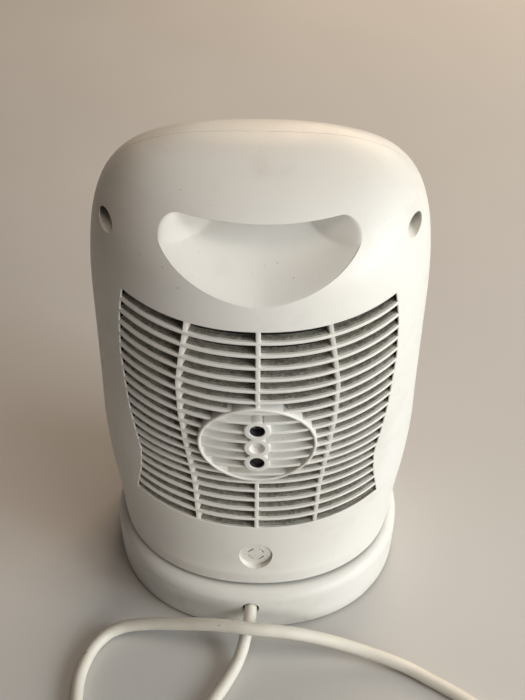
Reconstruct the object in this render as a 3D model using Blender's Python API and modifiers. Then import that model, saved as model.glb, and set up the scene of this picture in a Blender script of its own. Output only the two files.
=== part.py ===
"""Ceramic space heater on a swinging foot: a dome-backed body of two shells on an oval base.

The origin is the centre of the base on the floor. +Z is up, the front outlet faces -Y and the
intake grille faces +Y. Driving dimensions are in millimetres.
"""

import math

import bmesh
import bpy
from mathutils import Matrix, Vector

MM = 0.001
GAP = 0.3

# Body: levels of the two shells, from the bottom edge to the crown.
LEVELS = (34, 60, 84, 108, 140, 175, 205, 222, 236, 247, 256, 263, 267.5, 270)
HALF_WIDTHS = (82, 85.8, 87, 86.6, 85.2, 83.6, 82.4, 80, 77, 72.8, 66.5, 57.5, 45, 27)
REAR_DEPTHS = (69.6, 65.4, 62.8, 61.6, 66.4, 69.2, 69.6, 68.6, 65.4, 57.6, 47, 34, 22, 11)
FRONT_DEPTHS = (69.6, 67.5, 66.5, 66, 65.4, 64, 60, 55, 47.5, 39.5, 31, 23, 16.5, 10)
REAR_ROUNDNESS = 2.12
FRONT_ROUNDNESS = 2.5
SEAM_Y = 2.0
WALL = 2.0
COLUMNS = 18

# Intake grille in the rear shell.
GRILLE_TOP = 213.5
GRILLE_BOTTOM = 75.5
SLAT_COUNT = 19
SLAT_HEIGHT = 1.75
SLAT_RISE = 7.3
SLAT_RISE_AT = 63.0
RIB_WIDTH = 2.2
FILTER_INSET = 3.8
FILTER_THICKNESS = 1.1
GRILLE_EDGE = (
    (75, 66), (102, 60.7), (118, 59.4), (131, 61), (150, 62.8), (182, 63.6), (204, 61.8), (214, 60.2), (221, 58.8)
)
GRILLE_RIB = (
    (75, 31), (100, 32), (120, 33.7), (137, 35.1), (158, 36.4), (177, 36.3), (193, 34), (214, 30.4)
)
FAN_AXIS_Z = 140.5
RING_RADIUS = 27.8
RING_WALL = 1.6
BOSS_PITCH = 12.7
BOSS_RADIUS = 6.4
BOSS_BORE = 3.6

# Finger scoop above the grille.
SCOOP_BOTTOM = 225.5
SCOOP_TOP = 255.0
SCOOP_HALF_WIDTH = 42.0
SCOOP_WIDEST_Z = 247.0
SCOOP_DEPTH = 20.0

# Screw wells at the shoulders and the round pocket below the grille.
WELL_X = 66.0
WELL_Z = 243.0
WELL_RADIUS = 3.7
POCKET_Z = 54.2
POCKET_RADIUS = 9.0
POCKET_FLOOR_Y = 64.8

# Front outlet and control panel.
OUTLET_HALF_WIDTH = 58.0
OUTLET_BOTTOM = 86.0
OUTLET_TOP = 192.0
OUTLET_SLATS = 10
PANEL_CENTRE = (0.0, -55.0, 220.0)
PANEL_TILT = 68.0
PANEL_SIZE = (92.0, 36.0, 10.0)
PANEL_PROUD = 1.2
KNOB_X = 31.0

# Fan, shroud and heating element behind the outlet.
SHROUD_SIZE = (150.0, 2.4, 156.0)
SHROUD_RADIUS = 60.2
BLADE_COUNT = 7
BLADE_STATIONS = ((14, 50, 16), (34, 36, 24), (57, 24, 32))
HEATER_CENTRE = (0.0, -18.0, 141.0)
FRAME_SIZE = (132.0, 20.0, 104.0)
CORE_SIZE = (111.4, 12.0, 83.4)
CELL_COLUMNS, CELL_ROWS = 7, 6
CELL_SIZE = (13.2, 11.0)
CELL_PITCH = (15.2, 13.1)

# Base and swing drive.
BASE_HALF_WIDTH = 85.5
BASE_HALF_DEPTH = 77.0
BASE_ROUNDNESS = 2.18
BASE_FOOT = 1.6
DECK_Z = 31.5
SHOULDER = 6.5
COLLAR_RADIUS = 11.0
CRANK_Y = -42.0
CRANK_THROW = 20.0

# Mains cord.
CORD_DIAMETER = 6.9
CORD_HOLE = (2.5, 20.0)
CORD_HOLE_RADIUS = 4.4
COIL_CENTRE = (-104.0, 190.0)
COIL_RADIUS = 38.0


def start_scene():
    for thing in list(bpy.data.objects):
        bpy.data.objects.remove(thing, do_unlink=True)
    made = []
    for name in ("ceramic_space_heater", "cutters"):
        group = bpy.data.collections.new(name)
        bpy.context.scene.collection.children.link(group)
        made.append(group)
    made[1].hide_render = True
    return made


PARTS, CUTTERS = start_scene()


def material(name, colour, roughness, metallic=0.0):
    found = bpy.data.materials.get(name)
    if found:
        return found
    made = bpy.data.materials.new(name)
    made.use_nodes = True
    shader = made.node_tree.nodes["Principled BSDF"]
    shader.inputs["Base Color"].default_value = (*colour, 1.0)
    shader.inputs["Roughness"].default_value = roughness
    shader.inputs["Metallic"].default_value = metallic
    return made


SHELL_WHITE = material("shell_white", (0.82, 0.80, 0.74), 0.42)
BASE_WHITE = material("base_white", (0.80, 0.78, 0.72), 0.42)
CORD_WHITE = material("cord_white", (0.80, 0.78, 0.70), 0.5)
FILTER_GREY = material("filter_grey", (0.42, 0.40, 0.34), 0.9)
PANEL_GREY = material("panel_grey", (0.30, 0.31, 0.32), 0.45)
KNOB_WHITE = material("knob_white", (0.78, 0.77, 0.72), 0.4)
DARK_PLASTIC = material("dark_plastic", (0.05, 0.05, 0.05), 0.5)
FAN_BLACK = material("fan_black", (0.03, 0.03, 0.03), 0.4)
STEEL = material("steel", (0.55, 0.55, 0.56), 0.35, 1.0)
BRASS = material("brass", (0.75, 0.58, 0.28), 0.35, 1.0)
CERAMIC = material("ptc_ceramic", (0.62, 0.60, 0.55), 0.7)
RUBBER = material("rubber", (0.04, 0.04, 0.04), 0.85)
LAMP_AMBER = material("lamp_amber", (0.85, 0.30, 0.05), 0.2)


def add(name, mesh, look=None, smooth=False):
    """A new object of the part, or a hidden cutter when it has no material."""
    thing = bpy.data.objects.new(name, mesh)
    (PARTS if look else CUTTERS).objects.link(thing)
    if look:
        mesh.materials.append(look)
    else:
        thing.hide_render = True
        thing.display_type = "WIRE"
    if smooth:
        mesh.shade_smooth()
    return thing


def from_bmesh(name, bm, look=None, smooth=False):
    bmesh.ops.recalc_face_normals(bm, faces=bm.faces)
    mesh = bpy.data.meshes.new(name)
    bm.to_mesh(mesh)
    bm.free()
    return add(name, mesh, look, smooth)


def place(thing, centre=(0, 0, 0), turn=None):
    matrix = Matrix.Translation(Vector(centre) * MM)
    thing.matrix_world = matrix @ turn.to_4x4() if turn else matrix
    return thing


def along_y():
    """Turns +Z to +Y."""
    return Matrix.Rotation(math.radians(-90), 3, "X")


def panel_turn():
    return Matrix.Rotation(math.radians(PANEL_TILT), 3, "X")


def panel_point(x, up, out):
    local = panel_turn() @ Vector((x, up, out))
    return tuple(Vector(PANEL_CENTRE) + local)


def box(name, size, centre, look=None, turn=None, bevel=0.0):
    bm = bmesh.new()
    bmesh.ops.create_cube(bm, size=1.0)
    bmesh.ops.scale(bm, vec=Vector(size) * MM, verts=bm.verts)
    thing = place(from_bmesh(name, bm, look), centre, turn)
    if bevel:
        edge = thing.modifiers.new("edge", "BEVEL")
        edge.width = bevel * MM
        edge.segments = 2
    return thing


def cylinder(name, radius, height, centre, look=None, turn=None, segments=24):
    bm = bmesh.new()
    bmesh.ops.create_cone(
        bm, cap_ends=True, segments=segments, radius1=radius * MM, radius2=radius * MM, depth=height * MM
    )
    return place(from_bmesh(name, bm, look), centre, turn)


def turned(name, profile, centre=(0, 0, 0), look=None, turn=None, steps=24, closed=False):
    """A profile of (radius, height) points spun about the local Z axis, outer side top to bottom."""
    mesh = bpy.data.meshes.new(name)
    points = [(radius * MM, 0.0, height * MM) for radius, height in profile]
    edges = [(i, i + 1) for i in range(len(points) - 1)]
    if closed:
        edges.append((len(points) - 1, 0))
    mesh.from_pydata(points, edges, [])
    thing = place(add(name, mesh, look), centre, turn)
    spin = thing.modifiers.new("spin", "SCREW")
    spin.steps = steps
    spin.render_steps = steps
    spin.use_merge_vertices = True
    spin.merge_threshold = 0.00001
    spin.use_smooth_shade = True
    return thing


def ring(name, inner, outer, low, high, centre=(0, 0, 0), look=None, turn=None, steps=24):
    profile = ((outer, high), (outer, low), (inner, low), (inner, high))
    return turned(name, profile, centre, look, turn, steps, closed=True)


def loft(name, loops, look=None, smooth=False):
    """A closed solid over loops of points that all hold the same count."""
    bm = bmesh.new()
    rings = [[bm.verts.new(Vector(point) * MM) for point in loop] for loop in loops]
    count = len(rings[0])
    for low, high in zip(rings, rings[1:]):
        for i in range(count):
            j = (i + 1) % count
            bm.faces.new((low[i], low[j], high[j], high[i]))
    bm.faces.new(rings[0][::-1])
    bm.faces.new(rings[-1])
    return from_bmesh(name, bm, look, smooth)


def boolean(thing, other, operation="DIFFERENCE"):
    step = thing.modifiers.new(operation.lower(), "BOOLEAN")
    step.operation = operation
    step.solver = "EXACT"
    step.object = other
    return thing


def cut_all(thing, others):
    for other in others:
        boolean(thing, other)
    return thing


def between(stations, z):
    """The value at a level, from (level, value) pairs joined by straight lines."""
    if z <= stations[0][0]:
        return stations[0][1]
    for (z0, v0), (z1, v1) in zip(stations, stations[1:]):
        if z <= z1:
            return v0 + (v1 - v0) * (z - z0) / (z1 - z0)
    return stations[-1][1]


def eased(levels, values, z):
    """The value at a level on a smooth curve through the levels."""
    last = len(levels) - 1
    i = max(0, min(last - 1, sum(1 for level in levels if level <= z) - 1))

    def slope(k):
        a, b = max(0, k - 1), min(last, k + 1)
        return (values[b] - values[a]) / (levels[b] - levels[a])

    span = levels[i + 1] - levels[i]
    t = (z - levels[i]) / span
    start, end = slope(i) * span, slope(i + 1) * span
    rise = values[i + 1] - values[i]
    return values[i] + t * (start + t * (3 * rise - 2 * start - end + t * (start + end - 2 * rise)))


def superellipse_y(x, half_width, half_depth, power):
    share = 1.0 - min(1.0, abs(x) / half_width) ** power
    return half_depth * share ** (1.0 / power)


def rear_y(x, z):
    """The outer rear surface, as its distance behind the seam plane's origin."""
    width = eased(LEVELS, HALF_WIDTHS, z)
    depth = eased(LEVELS, REAR_DEPTHS, z)
    return SEAM_Y + superellipse_y(x, width, depth - SEAM_Y, REAR_ROUNDNESS)


def front_y(x, z):
    width = eased(LEVELS, HALF_WIDTHS, z)
    depth = eased(LEVELS, FRONT_DEPTHS, z)
    return -superellipse_y(x, width, depth, FRONT_ROUNDNESS)


def inset_level(k, depths, inset):
    """Level, half width and depth of one shell level moved inwards along the wall's normal."""
    a, b = max(0, k - 1), min(len(LEVELS) - 1, k + 1)
    rise = LEVELS[b] - LEVELS[a]
    moved = []
    lifts = []
    for values in (HALF_WIDTHS, depths):
        run = values[b] - values[a]
        length = math.hypot(rise, run)
        moved.append(values[k] - inset * rise / length)
        lifts.append(inset * run / length)
    return LEVELS[k] + sum(lifts) / 2, moved[0], moved[1]


def shell_loops(rear, inset=0.0, past_seam=0.0, below=0.0):
    """Level loops of one half of the body, closed across the seam plane."""
    depths = REAR_DEPTHS if rear else FRONT_DEPTHS
    power = REAR_ROUNDNESS if rear else FRONT_ROUNDNESS
    side = 1.0 if rear else -1.0
    seam = SEAM_Y if rear else SEAM_Y - GAP
    loops = []
    for k in range(len(LEVELS)):
        z, width, depth = inset_level(k, depths, inset)
        reach = depth - side * seam
        loop = []
        for i in range(COLUMNS + 1):
            angle = math.pi * i / COLUMNS
            x = width * math.copysign(abs(math.cos(angle)) ** (2 / power), math.cos(angle))
            y = reach * abs(math.sin(angle)) ** (2 / power)
            loop.append((x, seam + side * y, z))
        if past_seam:
            loop.insert(0, (width, seam - side * past_seam, z))
            loop.append((-width, seam - side * past_seam, z))
        loops.append(loop)
    if below:
        loops.insert(0, [(x, y, LEVELS[0] - below) for x, y, z in loops[0]])
        loops[1] = [(x, y, LEVELS[0]) for x, y, z in loops[1]]
    return loops


def prism_y(name, corners, low, high, look=None):
    """An outline of (x, z) corners run along Y."""
    return loft(name, [[(x, y, z) for x, z in corners] for y in (low, high)], look)


def joined_prisms(name, outlines, low, high):
    bm = bmesh.new()
    for corners in outlines:
        near = [bm.verts.new(Vector((x, low, z)) * MM) for x, z in corners]
        far = [bm.verts.new(Vector((x, high, z)) * MM) for x, z in corners]
        bm.faces.new(near[::-1])
        bm.faces.new(far)
        for i in range(len(corners)):
            j = (i + 1) % len(corners)
            bm.faces.new((near[i], near[j], far[j], far[i]))
    return from_bmesh(name, bm)


def slat_rise(x):
    """How much higher a slat lies at the side than at the middle of the grille."""
    return SLAT_RISE * (abs(x) / SLAT_RISE_AT) ** 2.2


def risen(x, z):
    return x, z + slat_rise(x)


def window_outlines():
    """The openings between slats and ribs, row by row."""
    pitch = (GRILLE_TOP - GRILLE_BOTTOM + SLAT_HEIGHT) / (SLAT_COUNT + 1)
    half_rib = RIB_WIDTH / 2
    outlines = []
    for row in range(SLAT_COUNT + 1):
        high = GRILLE_TOP - pitch * row
        low = high - pitch + SLAT_HEIGHT
        edge = [between(GRILLE_EDGE, z + SLAT_RISE) for z in (low, high)]
        rib = [between(GRILLE_RIB, z) for z in (low, high)]
        for side in (-1, 1):
            outer = [side * edge[0], side * edge[1]]
            inner = [side * (rib[0] + half_rib), side * (rib[1] + half_rib)]
            outlines.append((
                risen(inner[0], low), risen(outer[0], low), risen(outer[1], high), risen(inner[1], high),
            ))
        middle = (low + high) / 2
        inside_ring = abs(middle - FAN_AXIS_Z) < RING_RADIUS - 3
        for side in (0,) if inside_ring else (-1, 1):
            if side:
                a = [side * half_rib, side * half_rib]
            else:
                a = [half_rib - rib[0], half_rib - rib[1]]
            b = [(side or 1) * (rib[0] - half_rib), (side or 1) * (rib[1] - half_rib)]
            floor = [risen(a[0], low), risen(b[0], low)]
            roof = [risen(b[1], high), risen(a[1], high)]
            if not side:
                floor.insert(1, (0.0, low))
                roof.insert(1, (0.0, high))
            outlines.append((*floor, *roof))
    return outlines


def scoop_half_width(z, grow):
    bottom, top = SCOOP_BOTTOM - grow, SCOOP_TOP + grow
    widest = SCOOP_HALF_WIDTH + grow
    if z >= SCOOP_WIDEST_Z:
        share = (z - SCOOP_WIDEST_Z) / (top - SCOOP_WIDEST_Z)
        return widest - 8.0 + 8.0 * math.sqrt(max(0.0, 1 - share * share))
    share = (SCOOP_WIDEST_Z - z) / (SCOOP_WIDEST_Z - bottom)
    return max(3.0, widest * max(0.0, 1 - share**1.6) ** (1 / 1.6))


def scoop_block(name, grow):
    """The scoop's hollow, grown outwards for its wall."""
    bottom, top = SCOOP_BOTTOM - grow, SCOOP_TOP + grow
    rows, across = 9, 14
    loops = []
    for j in range(rows + 1):
        z = bottom + (top - bottom) * j / rows
        half = scoop_half_width(z, grow)
        rise = math.sin(0.5 * math.pi * (z - bottom) / (top - bottom))
        floor = []
        for i in range(across + 1):
            share = -1 + 2 * i / across
            x = half * share
            depth = (SCOOP_DEPTH + grow) * rise * (1 - abs(share) ** 3) ** 0.5
            surface = rear_y(min(abs(x), SCOOP_HALF_WIDTH + grow), min(z, SCOOP_TOP))
            floor.append((x, surface - depth + (0.4 if grow == 0 else 0.0), z))
        loops.append(floor + [(half, 80.0, z), (-half, 80.0, z)])
    return loft(name, loops)


def motor_mount(name, grow, low):
    """The ring and the three joined bosses that carry the fan motor, from inside the shell outwards."""
    tube = ring(
        f"{name}_ring", RING_RADIUS - RING_WALL / 2 - grow, RING_RADIUS + RING_WALL / 2 + grow,
        low, 80 + grow, (0, 0, FAN_AXIS_Z), turn=along_y(), steps=28,
    )
    height = 78 + grow - low
    bosses = [
        cylinder(
            f"{name}_boss_{k}", BOSS_RADIUS + grow, height,
            (0, low + height / 2, FAN_AXIS_Z + k * BOSS_PITCH), turn=along_y(),
        )
        for k in (-1, 0, 1)
    ]
    return tube, boolean(boolean(bosses[1], bosses[0], "UNION"), bosses[2], "UNION")


def build_rear_shell():
    shell = loft("rear_shell", shell_loops(rear=True), SHELL_WHITE, smooth=True)
    cavity = loft("rear_cavity", shell_loops(rear=True, inset=WALL, past_seam=4, below=4))
    ring_tube, boss_column = motor_mount("mount", 0.0, 57.8)
    ring_keep, boss_keep = motor_mount("keep", 0.1, 30.0)
    posts = [
        cylinder(
            f"well_post_{side}", WELL_RADIUS + 1.6, 60, (side * WELL_X, SEAM_Y + 29, WELL_Z), turn=along_y()
        )
        for side in (-1, 1)
    ]
    pocket_boss = cylinder(
        "pocket_boss", POCKET_RADIUS + 1.8, 14, (0, POCKET_FLOOR_Y + 5.4, POCKET_Z), turn=along_y(),
    )
    scoop_wall = scoop_block("scoop_wall", 2.0)
    cut_all(cavity, [ring_tube, boss_column, *posts, pocket_boss, scoop_wall])
    windows = joined_prisms("windows", window_outlines(), 34, 90)
    cut_all(windows, [ring_keep, boss_keep])
    boolean(shell, cavity)
    boolean(shell, windows)
    boolean(shell, scoop_block("scoop_hollow", 0.0))
    cutters = []
    for side in (-1, 1):
        cutters.append(
            cylinder(f"well_bore_{side}", WELL_RADIUS, 70, (side * WELL_X, 43, WELL_Z), turn=along_y())
        )
        cutters.append(
            cylinder(f"well_hole_{side}", 1.9, 30, (side * WELL_X, 3, WELL_Z), turn=along_y(), segments=12)
        )
        cutters.append(
            cylinder(
                f"boss_bore_{side}", BOSS_BORE, 30, (
                    0, 75.5, FAN_AXIS_Z + side * BOSS_PITCH
                ), turn=along_y()
            )
        )
        cutters.append(
            cylinder(
                f"boss_hole_{side}", 1.9, 30, (
                    0, 65, FAN_AXIS_Z + side * BOSS_PITCH
                ), turn=along_y(), segments=12
            )
        )
    cutters.append(cylinder("boss_dimple", BOSS_BORE, 12, (0, 69.2, FAN_AXIS_Z), turn=along_y()))
    cutters.append(
        cylinder("pocket", POCKET_RADIUS, 20, (0, POCKET_FLOOR_Y + 10, POCKET_Z), turn=along_y()),
    )
    for k in range(4):
        angle = math.radians(45 + 90 * k)
        outline = []
        for radius, sweep in ((4.4, 1), (3.4, -1)):
            for step in (-1, 0, 1):
                turn = angle + sweep * step * math.radians(26)
                outline.append((radius * math.cos(turn), POCKET_Z + radius * math.sin(turn)))
        cutters.append(prism_y(f"pocket_slot_{k}", outline, 50, 75))
    return cut_all(shell, cutters)


def build_dust_filter():
    """A thin mat that follows the inside of the grille, with a round hole for the ring."""
    rows, across = 10, 14
    bottom, top = GRILLE_BOTTOM - 7.0, GRILLE_TOP + SLAT_RISE
    loops = []
    for j in range(rows + 1):
        z = bottom + (top - bottom) * j / rows
        half = between(GRILLE_EDGE, z) + 1.0
        xs = [-half + 2 * half * i / across for i in range(across + 1)]
        back = [(x, rear_y(x, z) - FILTER_INSET - 0.05 * abs(x), z) for x in xs]
        front = [(x, y - FILTER_THICKNESS, z) for x, y, z in reversed(back)]
        loops.append(back + front)
    mat = loft("dust_filter", loops, FILTER_GREY, smooth=True)
    hole = cylinder("filter_hole", RING_RADIUS + 2, 60, (0, 60, FAN_AXIS_Z), turn=along_y(), segments=32)
    return boolean(mat, hole)


def outlet_window(name, shrink, low=-90, high=-30):
    half = OUTLET_HALF_WIDTH - shrink
    top, bottom = OUTLET_TOP - shrink, OUTLET_BOTTOM + shrink
    corner = 12.0 - shrink
    outline = []
    for cx, cz, start in (
        (half - corner, bottom + corner, -90), (half - corner, top - corner, 0),
        (corner - half, top - corner, 90), (corner - half, bottom + corner, 180),
    ):
        for step in range(4):
            angle = math.radians(start + 30 * step)
            outline.append((cx + corner * math.cos(angle), cz + corner * math.sin(angle)))
    return prism_y(name, outline, low, high)


def build_front():
    shell = loft("front_shell", shell_loops(rear=False), SHELL_WHITE, smooth=True)
    cavity = loft("front_cavity", shell_loops(rear=False, inset=WALL, past_seam=4, below=4))
    posts = [
        cylinder(f"front_post_{side}", 5.0, 60, (side * WELL_X, SEAM_Y - 29, WELL_Z), turn=along_y())
        for side in (-1, 1)
    ]
    cut_all(cavity, posts)
    boolean(shell, cavity)
    boolean(shell, outlet_window("outlet_opening", 0.0))
    size = (PANEL_SIZE[0] + 2 * GAP, PANEL_SIZE[1] + 2 * GAP, 60)
    boolean(shell, box("panel_opening", size, panel_point(0, 0, 8), turn=panel_turn()))
    for side in (-1, 1):
        boolean(
            shell,
            cylinder(
                f"post_hole_{side}", 1.9, 30, (side * WELL_X, -6, WELL_Z), turn=along_y(), segments=12,
            ),
        )

    grille = loft("outlet_grille", shell_loops(rear=False, inset=0.6), PANEL_GREY, smooth=True)
    behind = loft("grille_cavity", shell_loops(rear=False, inset=2.8, past_seam=4, below=4))
    boolean(grille, behind)
    boolean(grille, outlet_window("outlet_trim", GAP), "INTERSECT")
    pitch = (OUTLET_TOP - OUTLET_BOTTOM - 8) / OUTLET_SLATS
    outlines = []
    for row in range(OUTLET_SLATS):
        low = OUTLET_BOTTOM + 5 + pitch * row
        high = low + pitch - 2.4
        inset = 12 if row in (0, OUTLET_SLATS - 1) else 5
        for a, b in ((-OUTLET_HALF_WIDTH + inset, -19), (-17, 17), (19, OUTLET_HALF_WIDTH - inset)):
            outlines.append(((a, low), (b, low), (b, high), (a, high)))
    boolean(grille, joined_prisms("outlet_windows", outlines, -90, -20))
    return shell


def build_controls():
    panel = box("control_panel", PANEL_SIZE, panel_point(0, 0, PANEL_PROUD - PANEL_SIZE[2] / 2), PANEL_GREY,
                panel_turn(), bevel=1.2)
    face = PANEL_PROUD
    back = PANEL_PROUD - PANEL_SIZE[2]
    for side in (-1, 1):
        at = panel_point(side * KNOB_X, 0, 0)
        boolean(panel, cylinder(f"spindle_hole_{side}", 3.6, 40, at, turn=panel_turn()))
    boolean(panel, cylinder("lamp_hole", 3.3, 40, panel_point(0, 10, 0), turn=panel_turn(), segments=16))
    boolean(panel, box("button_hole", (12.6, 8.6, 40), panel_point(0, -7, 0), turn=panel_turn()))
    for name, side in (("function_knob", 1), ("thermostat_knob", -1)):
        profile = (
            (0, 14), (11.6, 14), (12.8, 13), (14.5, 0), (11.5, 0), (11.5, 2), (3, 2), (3, back - 7), (
                0, back - 7
            ),
        )
        at = panel_point(side * KNOB_X, 0, face + GAP)
        knob = turned(name, profile, at, KNOB_WHITE, panel_turn(), steps=20)
        grip = box(
            f"{name}_grip", (5, 23, 5), panel_point(side * KNOB_X, 0, face + GAP + 15), turn=panel_turn(),
        )
        boolean(knob, grip, "UNION")
    lamp_profile = ((0, 1.4), (2.0, 1.0), (3.0, 0), (3.0, -11), (0, -11))
    turned("power_lamp", lamp_profile, panel_point(0, 10, face), LAMP_AMBER, panel_turn(), steps=16)
    box("swing_button", (12, 8, 14), panel_point(0, -7, face + 3.5 - 7), KNOB_WHITE, panel_turn(), bevel=0.6)
    under = back - GAP
    at = panel_point(KNOB_X, 0, under - 7)
    rotary = box("rotary_switch", (24, 22, 14), at, DARK_PLASTIC, panel_turn(), bevel=0.8)
    dial = turned(
        "thermostat", ((0, 0), (11, 0), (11, -13), (6, -13), (6, -17), (0, -17)), panel_point(
            -KNOB_X, 0, under,
        ),
        STEEL, panel_turn(), steps=24,
    )
    for thing, side in ((rotary, 1), (dial, -1)):
        at = panel_point(side * KNOB_X, 0, under)
        boolean(thing, cylinder(f"{thing.name}_bushing", 3.5, 16, at, turn=panel_turn(), segments=16))
    at = panel_point(0, -7, face + 3.5 - 14 - 3.4 - 4.5)
    box("swing_switch", (13, 9, 9), at, DARK_PLASTIC, panel_turn(), bevel=0.6)


def build_fan():
    axis = (0, 0, FAN_AXIS_Z)
    lid = ((0, 57.5), (27, 57.5), (28.6, 56), (28.6, 52), (0, 52))
    cap = turned("motor_cap", lid, axis, BASE_WHITE, along_y(), 36)
    for side in (-1, 1):
        at = (0, 55, FAN_AXIS_Z + side * BOSS_PITCH)
        boolean(cap, cylinder(f"cap_hole_{side}", 1.9, 20, at, turn=along_y(), segments=12))
    housing = ((0, 51.7), (22, 51.7), (25, 49.5), (25, 33), (9, 30), (0, 30))
    can = turned("fan_motor", housing, axis, STEEL, along_y(), 28)
    boolean(can, cylinder("motor_bore", 2.6, 30, (0, 33, FAN_AXIS_Z), turn=along_y(), segments=16))
    cylinder("fan_shaft", 2.2, 35, (0, 22.5, FAN_AXIS_Z), STEEL, along_y(), 16)

    hub = turned(
        "fan_impeller", ((0, 27), (16, 27), (19, 24), (19, 12), (0, 12)), axis, FAN_BLACK, along_y(), 28,
    )
    for k in range(BLADE_COUNT):
        angle = 2 * math.pi * k / BLADE_COUNT
        loops = []
        for radius, pitch_angle, chord in BLADE_STATIONS:
            tilt = math.radians(pitch_angle)
            lead = (math.cos(tilt) * chord / 2, math.sin(tilt) * chord / 2)
            side = (math.sin(tilt) * 0.9, -math.cos(tilt) * 0.9)
            loop = []
            for along, across in ((-1, -1), (1, -1), (1, 1), (-1, 1)):
                tangent = along * lead[0] + across * side[0]
                height = 19.5 + 0.62 * (along * lead[1]) + across * side[1]
                spread = math.sqrt(max(1.0, radius * radius - tangent * tangent))
                x = spread * math.cos(angle) - tangent * math.sin(angle)
                z = spread * math.sin(angle) + tangent * math.cos(angle)
                loop.append((x, height, z + FAN_AXIS_Z))
            loops.append(loop)
        boolean(hub, loft(f"blade_{k}", loops), "UNION")
    boolean(hub, cylinder("hub_bore", 2.5, 40, (0, 20, FAN_AXIS_Z), turn=along_y(), segments=16))

    plate = box("fan_shroud", SHROUD_SIZE, (0, 6, 141), DARK_PLASTIC)
    collar = ring(
        "shroud_collar", SHROUD_RADIUS - 0.2, SHROUD_RADIUS + 2.2, 5, 28, axis, turn=along_y(), steps=40,
    )
    boolean(plate, collar, "UNION")
    mouth = cylinder("shroud_mouth", SHROUD_RADIUS, 80, (0, 10, FAN_AXIS_Z), turn=along_y(), segments=40)
    boolean(plate, mouth)


def build_heater():
    frame = box("heater_frame", FRAME_SIZE, HEATER_CENTRE, DARK_PLASTIC)
    window = (CORE_SIZE[0] + 2 * GAP, 2 * FRAME_SIZE[1], CORE_SIZE[2] + 2 * GAP)
    boolean(frame, box("frame_window", window, HEATER_CENTRE))
    core = box("ceramic_element", CORE_SIZE, HEATER_CENTRE, CERAMIC)
    rim = 3.0
    outlines = []
    for column in range(CELL_COLUMNS):
        for row in range(CELL_ROWS):
            x = rim - CORE_SIZE[0] / 2 + column * CELL_PITCH[0]
            z = HEATER_CENTRE[2] + rim - CORE_SIZE[2] / 2 + row * CELL_PITCH[1]
            right, top = x + CELL_SIZE[0], z + CELL_SIZE[1]
            outlines.append(((x, z), (right, z), (right, top), (x, top)))
    boolean(core, joined_prisms("air_cells", outlines, -40, 0))
    tab = (10.0, 0.8, 6.0)
    for name, side in (("terminal_live", 1), ("terminal_neutral", -1)):
        box(name, tab, (side * (FRAME_SIZE[0] / 2 + GAP + tab[0] / 2), HEATER_CENTRE[1], 160), BRASS)
    ledge = HEATER_CENTRE[2] + FRAME_SIZE[2] / 2 + GAP
    cutout_height, fuse_radius = 5.5, 2.2
    cutout_at = (-20, HEATER_CENTRE[1], ledge + cutout_height / 2)
    cylinder("thermal_cutout", 8, cutout_height, cutout_at, STEEL, segments=20)
    along_x = Matrix.Rotation(math.radians(90), 3, "Y")
    cylinder(
        "thermal_fuse", fuse_radius, 16, (18, HEATER_CENTRE[1], ledge + fuse_radius), STEEL, along_x, 12,
    )


def oval(half_width, half_depth, z, count=32, power=BASE_ROUNDNESS):
    loop = []
    for i in range(count):
        angle = 2 * math.pi * i / count
        c, s = math.cos(angle), math.sin(angle)
        loop.append((
            half_width * math.copysign(abs(c) ** (2 / power), c),
            half_depth * math.copysign(abs(s) ** (2 / power), s),
            z,
        ))
    return loop


def base_loops(inset, low):
    loops = [oval(BASE_HALF_WIDTH - inset, BASE_HALF_DEPTH - inset, low)]
    for step in range(4):
        angle = math.radians(30 * step)
        reach = (SHOULDER - inset) * math.cos(angle)
        lift = (SHOULDER - inset) * math.sin(angle)
        side = inset + (SHOULDER - inset) - reach
        loops.append(oval(BASE_HALF_WIDTH - side, BASE_HALF_DEPTH - side, DECK_Z - SHOULDER + lift))
    return loops


def build_base():
    cover = loft("base_cover", base_loops(0.0, BASE_FOOT), BASE_WHITE, smooth=True)
    boolean(cover, loft("base_cavity", base_loops(2.2, BASE_FOOT - 5)))
    boolean(cover, cylinder("deck_hole", COLLAR_RADIUS + 0.7, 40, (0, 0, 30), segments=32))
    boolean(
        cover,
        cylinder(
            "cord_hole", CORD_HOLE_RADIUS, 30, (CORD_HOLE[0], 72, CORD_HOLE[1]), turn=along_y(), segments=20
        ),
    )

    plate = loft(
        "base_plate", [oval(BASE_HALF_WIDTH - 2.6, BASE_HALF_DEPTH - 2.6, z) for z in (3, 5)], DARK_PLASTIC
    )
    boolean(plate, cylinder("plunger_hole", 3.4, 20, (-48, 20, 4), segments=16))
    screws = ((-62, -28), (62, -28), (-62, 30), (62, 30))
    for k, (x, y) in enumerate(screws):
        boolean(plate, cylinder(f"plate_hole_{k}", 1.9, 20, (x, y, 4), segments=12))
        fixing = ((0, 14), (1.5, 13), (1.5, 2.7), (3.2, 2.7), (3.2, 1.2), (0, 1.2))
        turned(f"plate_screw_{k + 1}", fixing, (x, y, 0), STEEL, steps=12)
    for k, (x, y) in enumerate(((-46, -49), (46, -49), (-46, 49), (46, 49))):
        pad = ((0, 2.7), (7, 2.7), (7, 0.6), (6.2, 0), (0, 0))
        turned(f"rubber_foot_{k + 1}", pad, (x, y, 0), RUBBER, steps=16)

    box("tip_switch", (14, 20, 12), (-48, 20, 16.2), DARK_PLASTIC, bevel=0.8)
    tip = bpy.data.objects["tip_switch"]
    boolean(tip, cylinder("plunger_well", 2.6, 12, (-48, 20, 12), segments=16))
    plunger = ((0, 11.5), (2.2, 11.5), (2.2, 6.6), (3.0, 6.2), (3.0, 0.8), (2.4, 0.0), (0, 0.0))
    turned("tip_plunger", plunger, (-48, 20, 0), KNOB_WHITE, steps=16)


def slab(name, outline, low, high, look=None):
    return loft(name, [[(x, y, z) for x, y in outline] for z in (low, high)], look)


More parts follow.
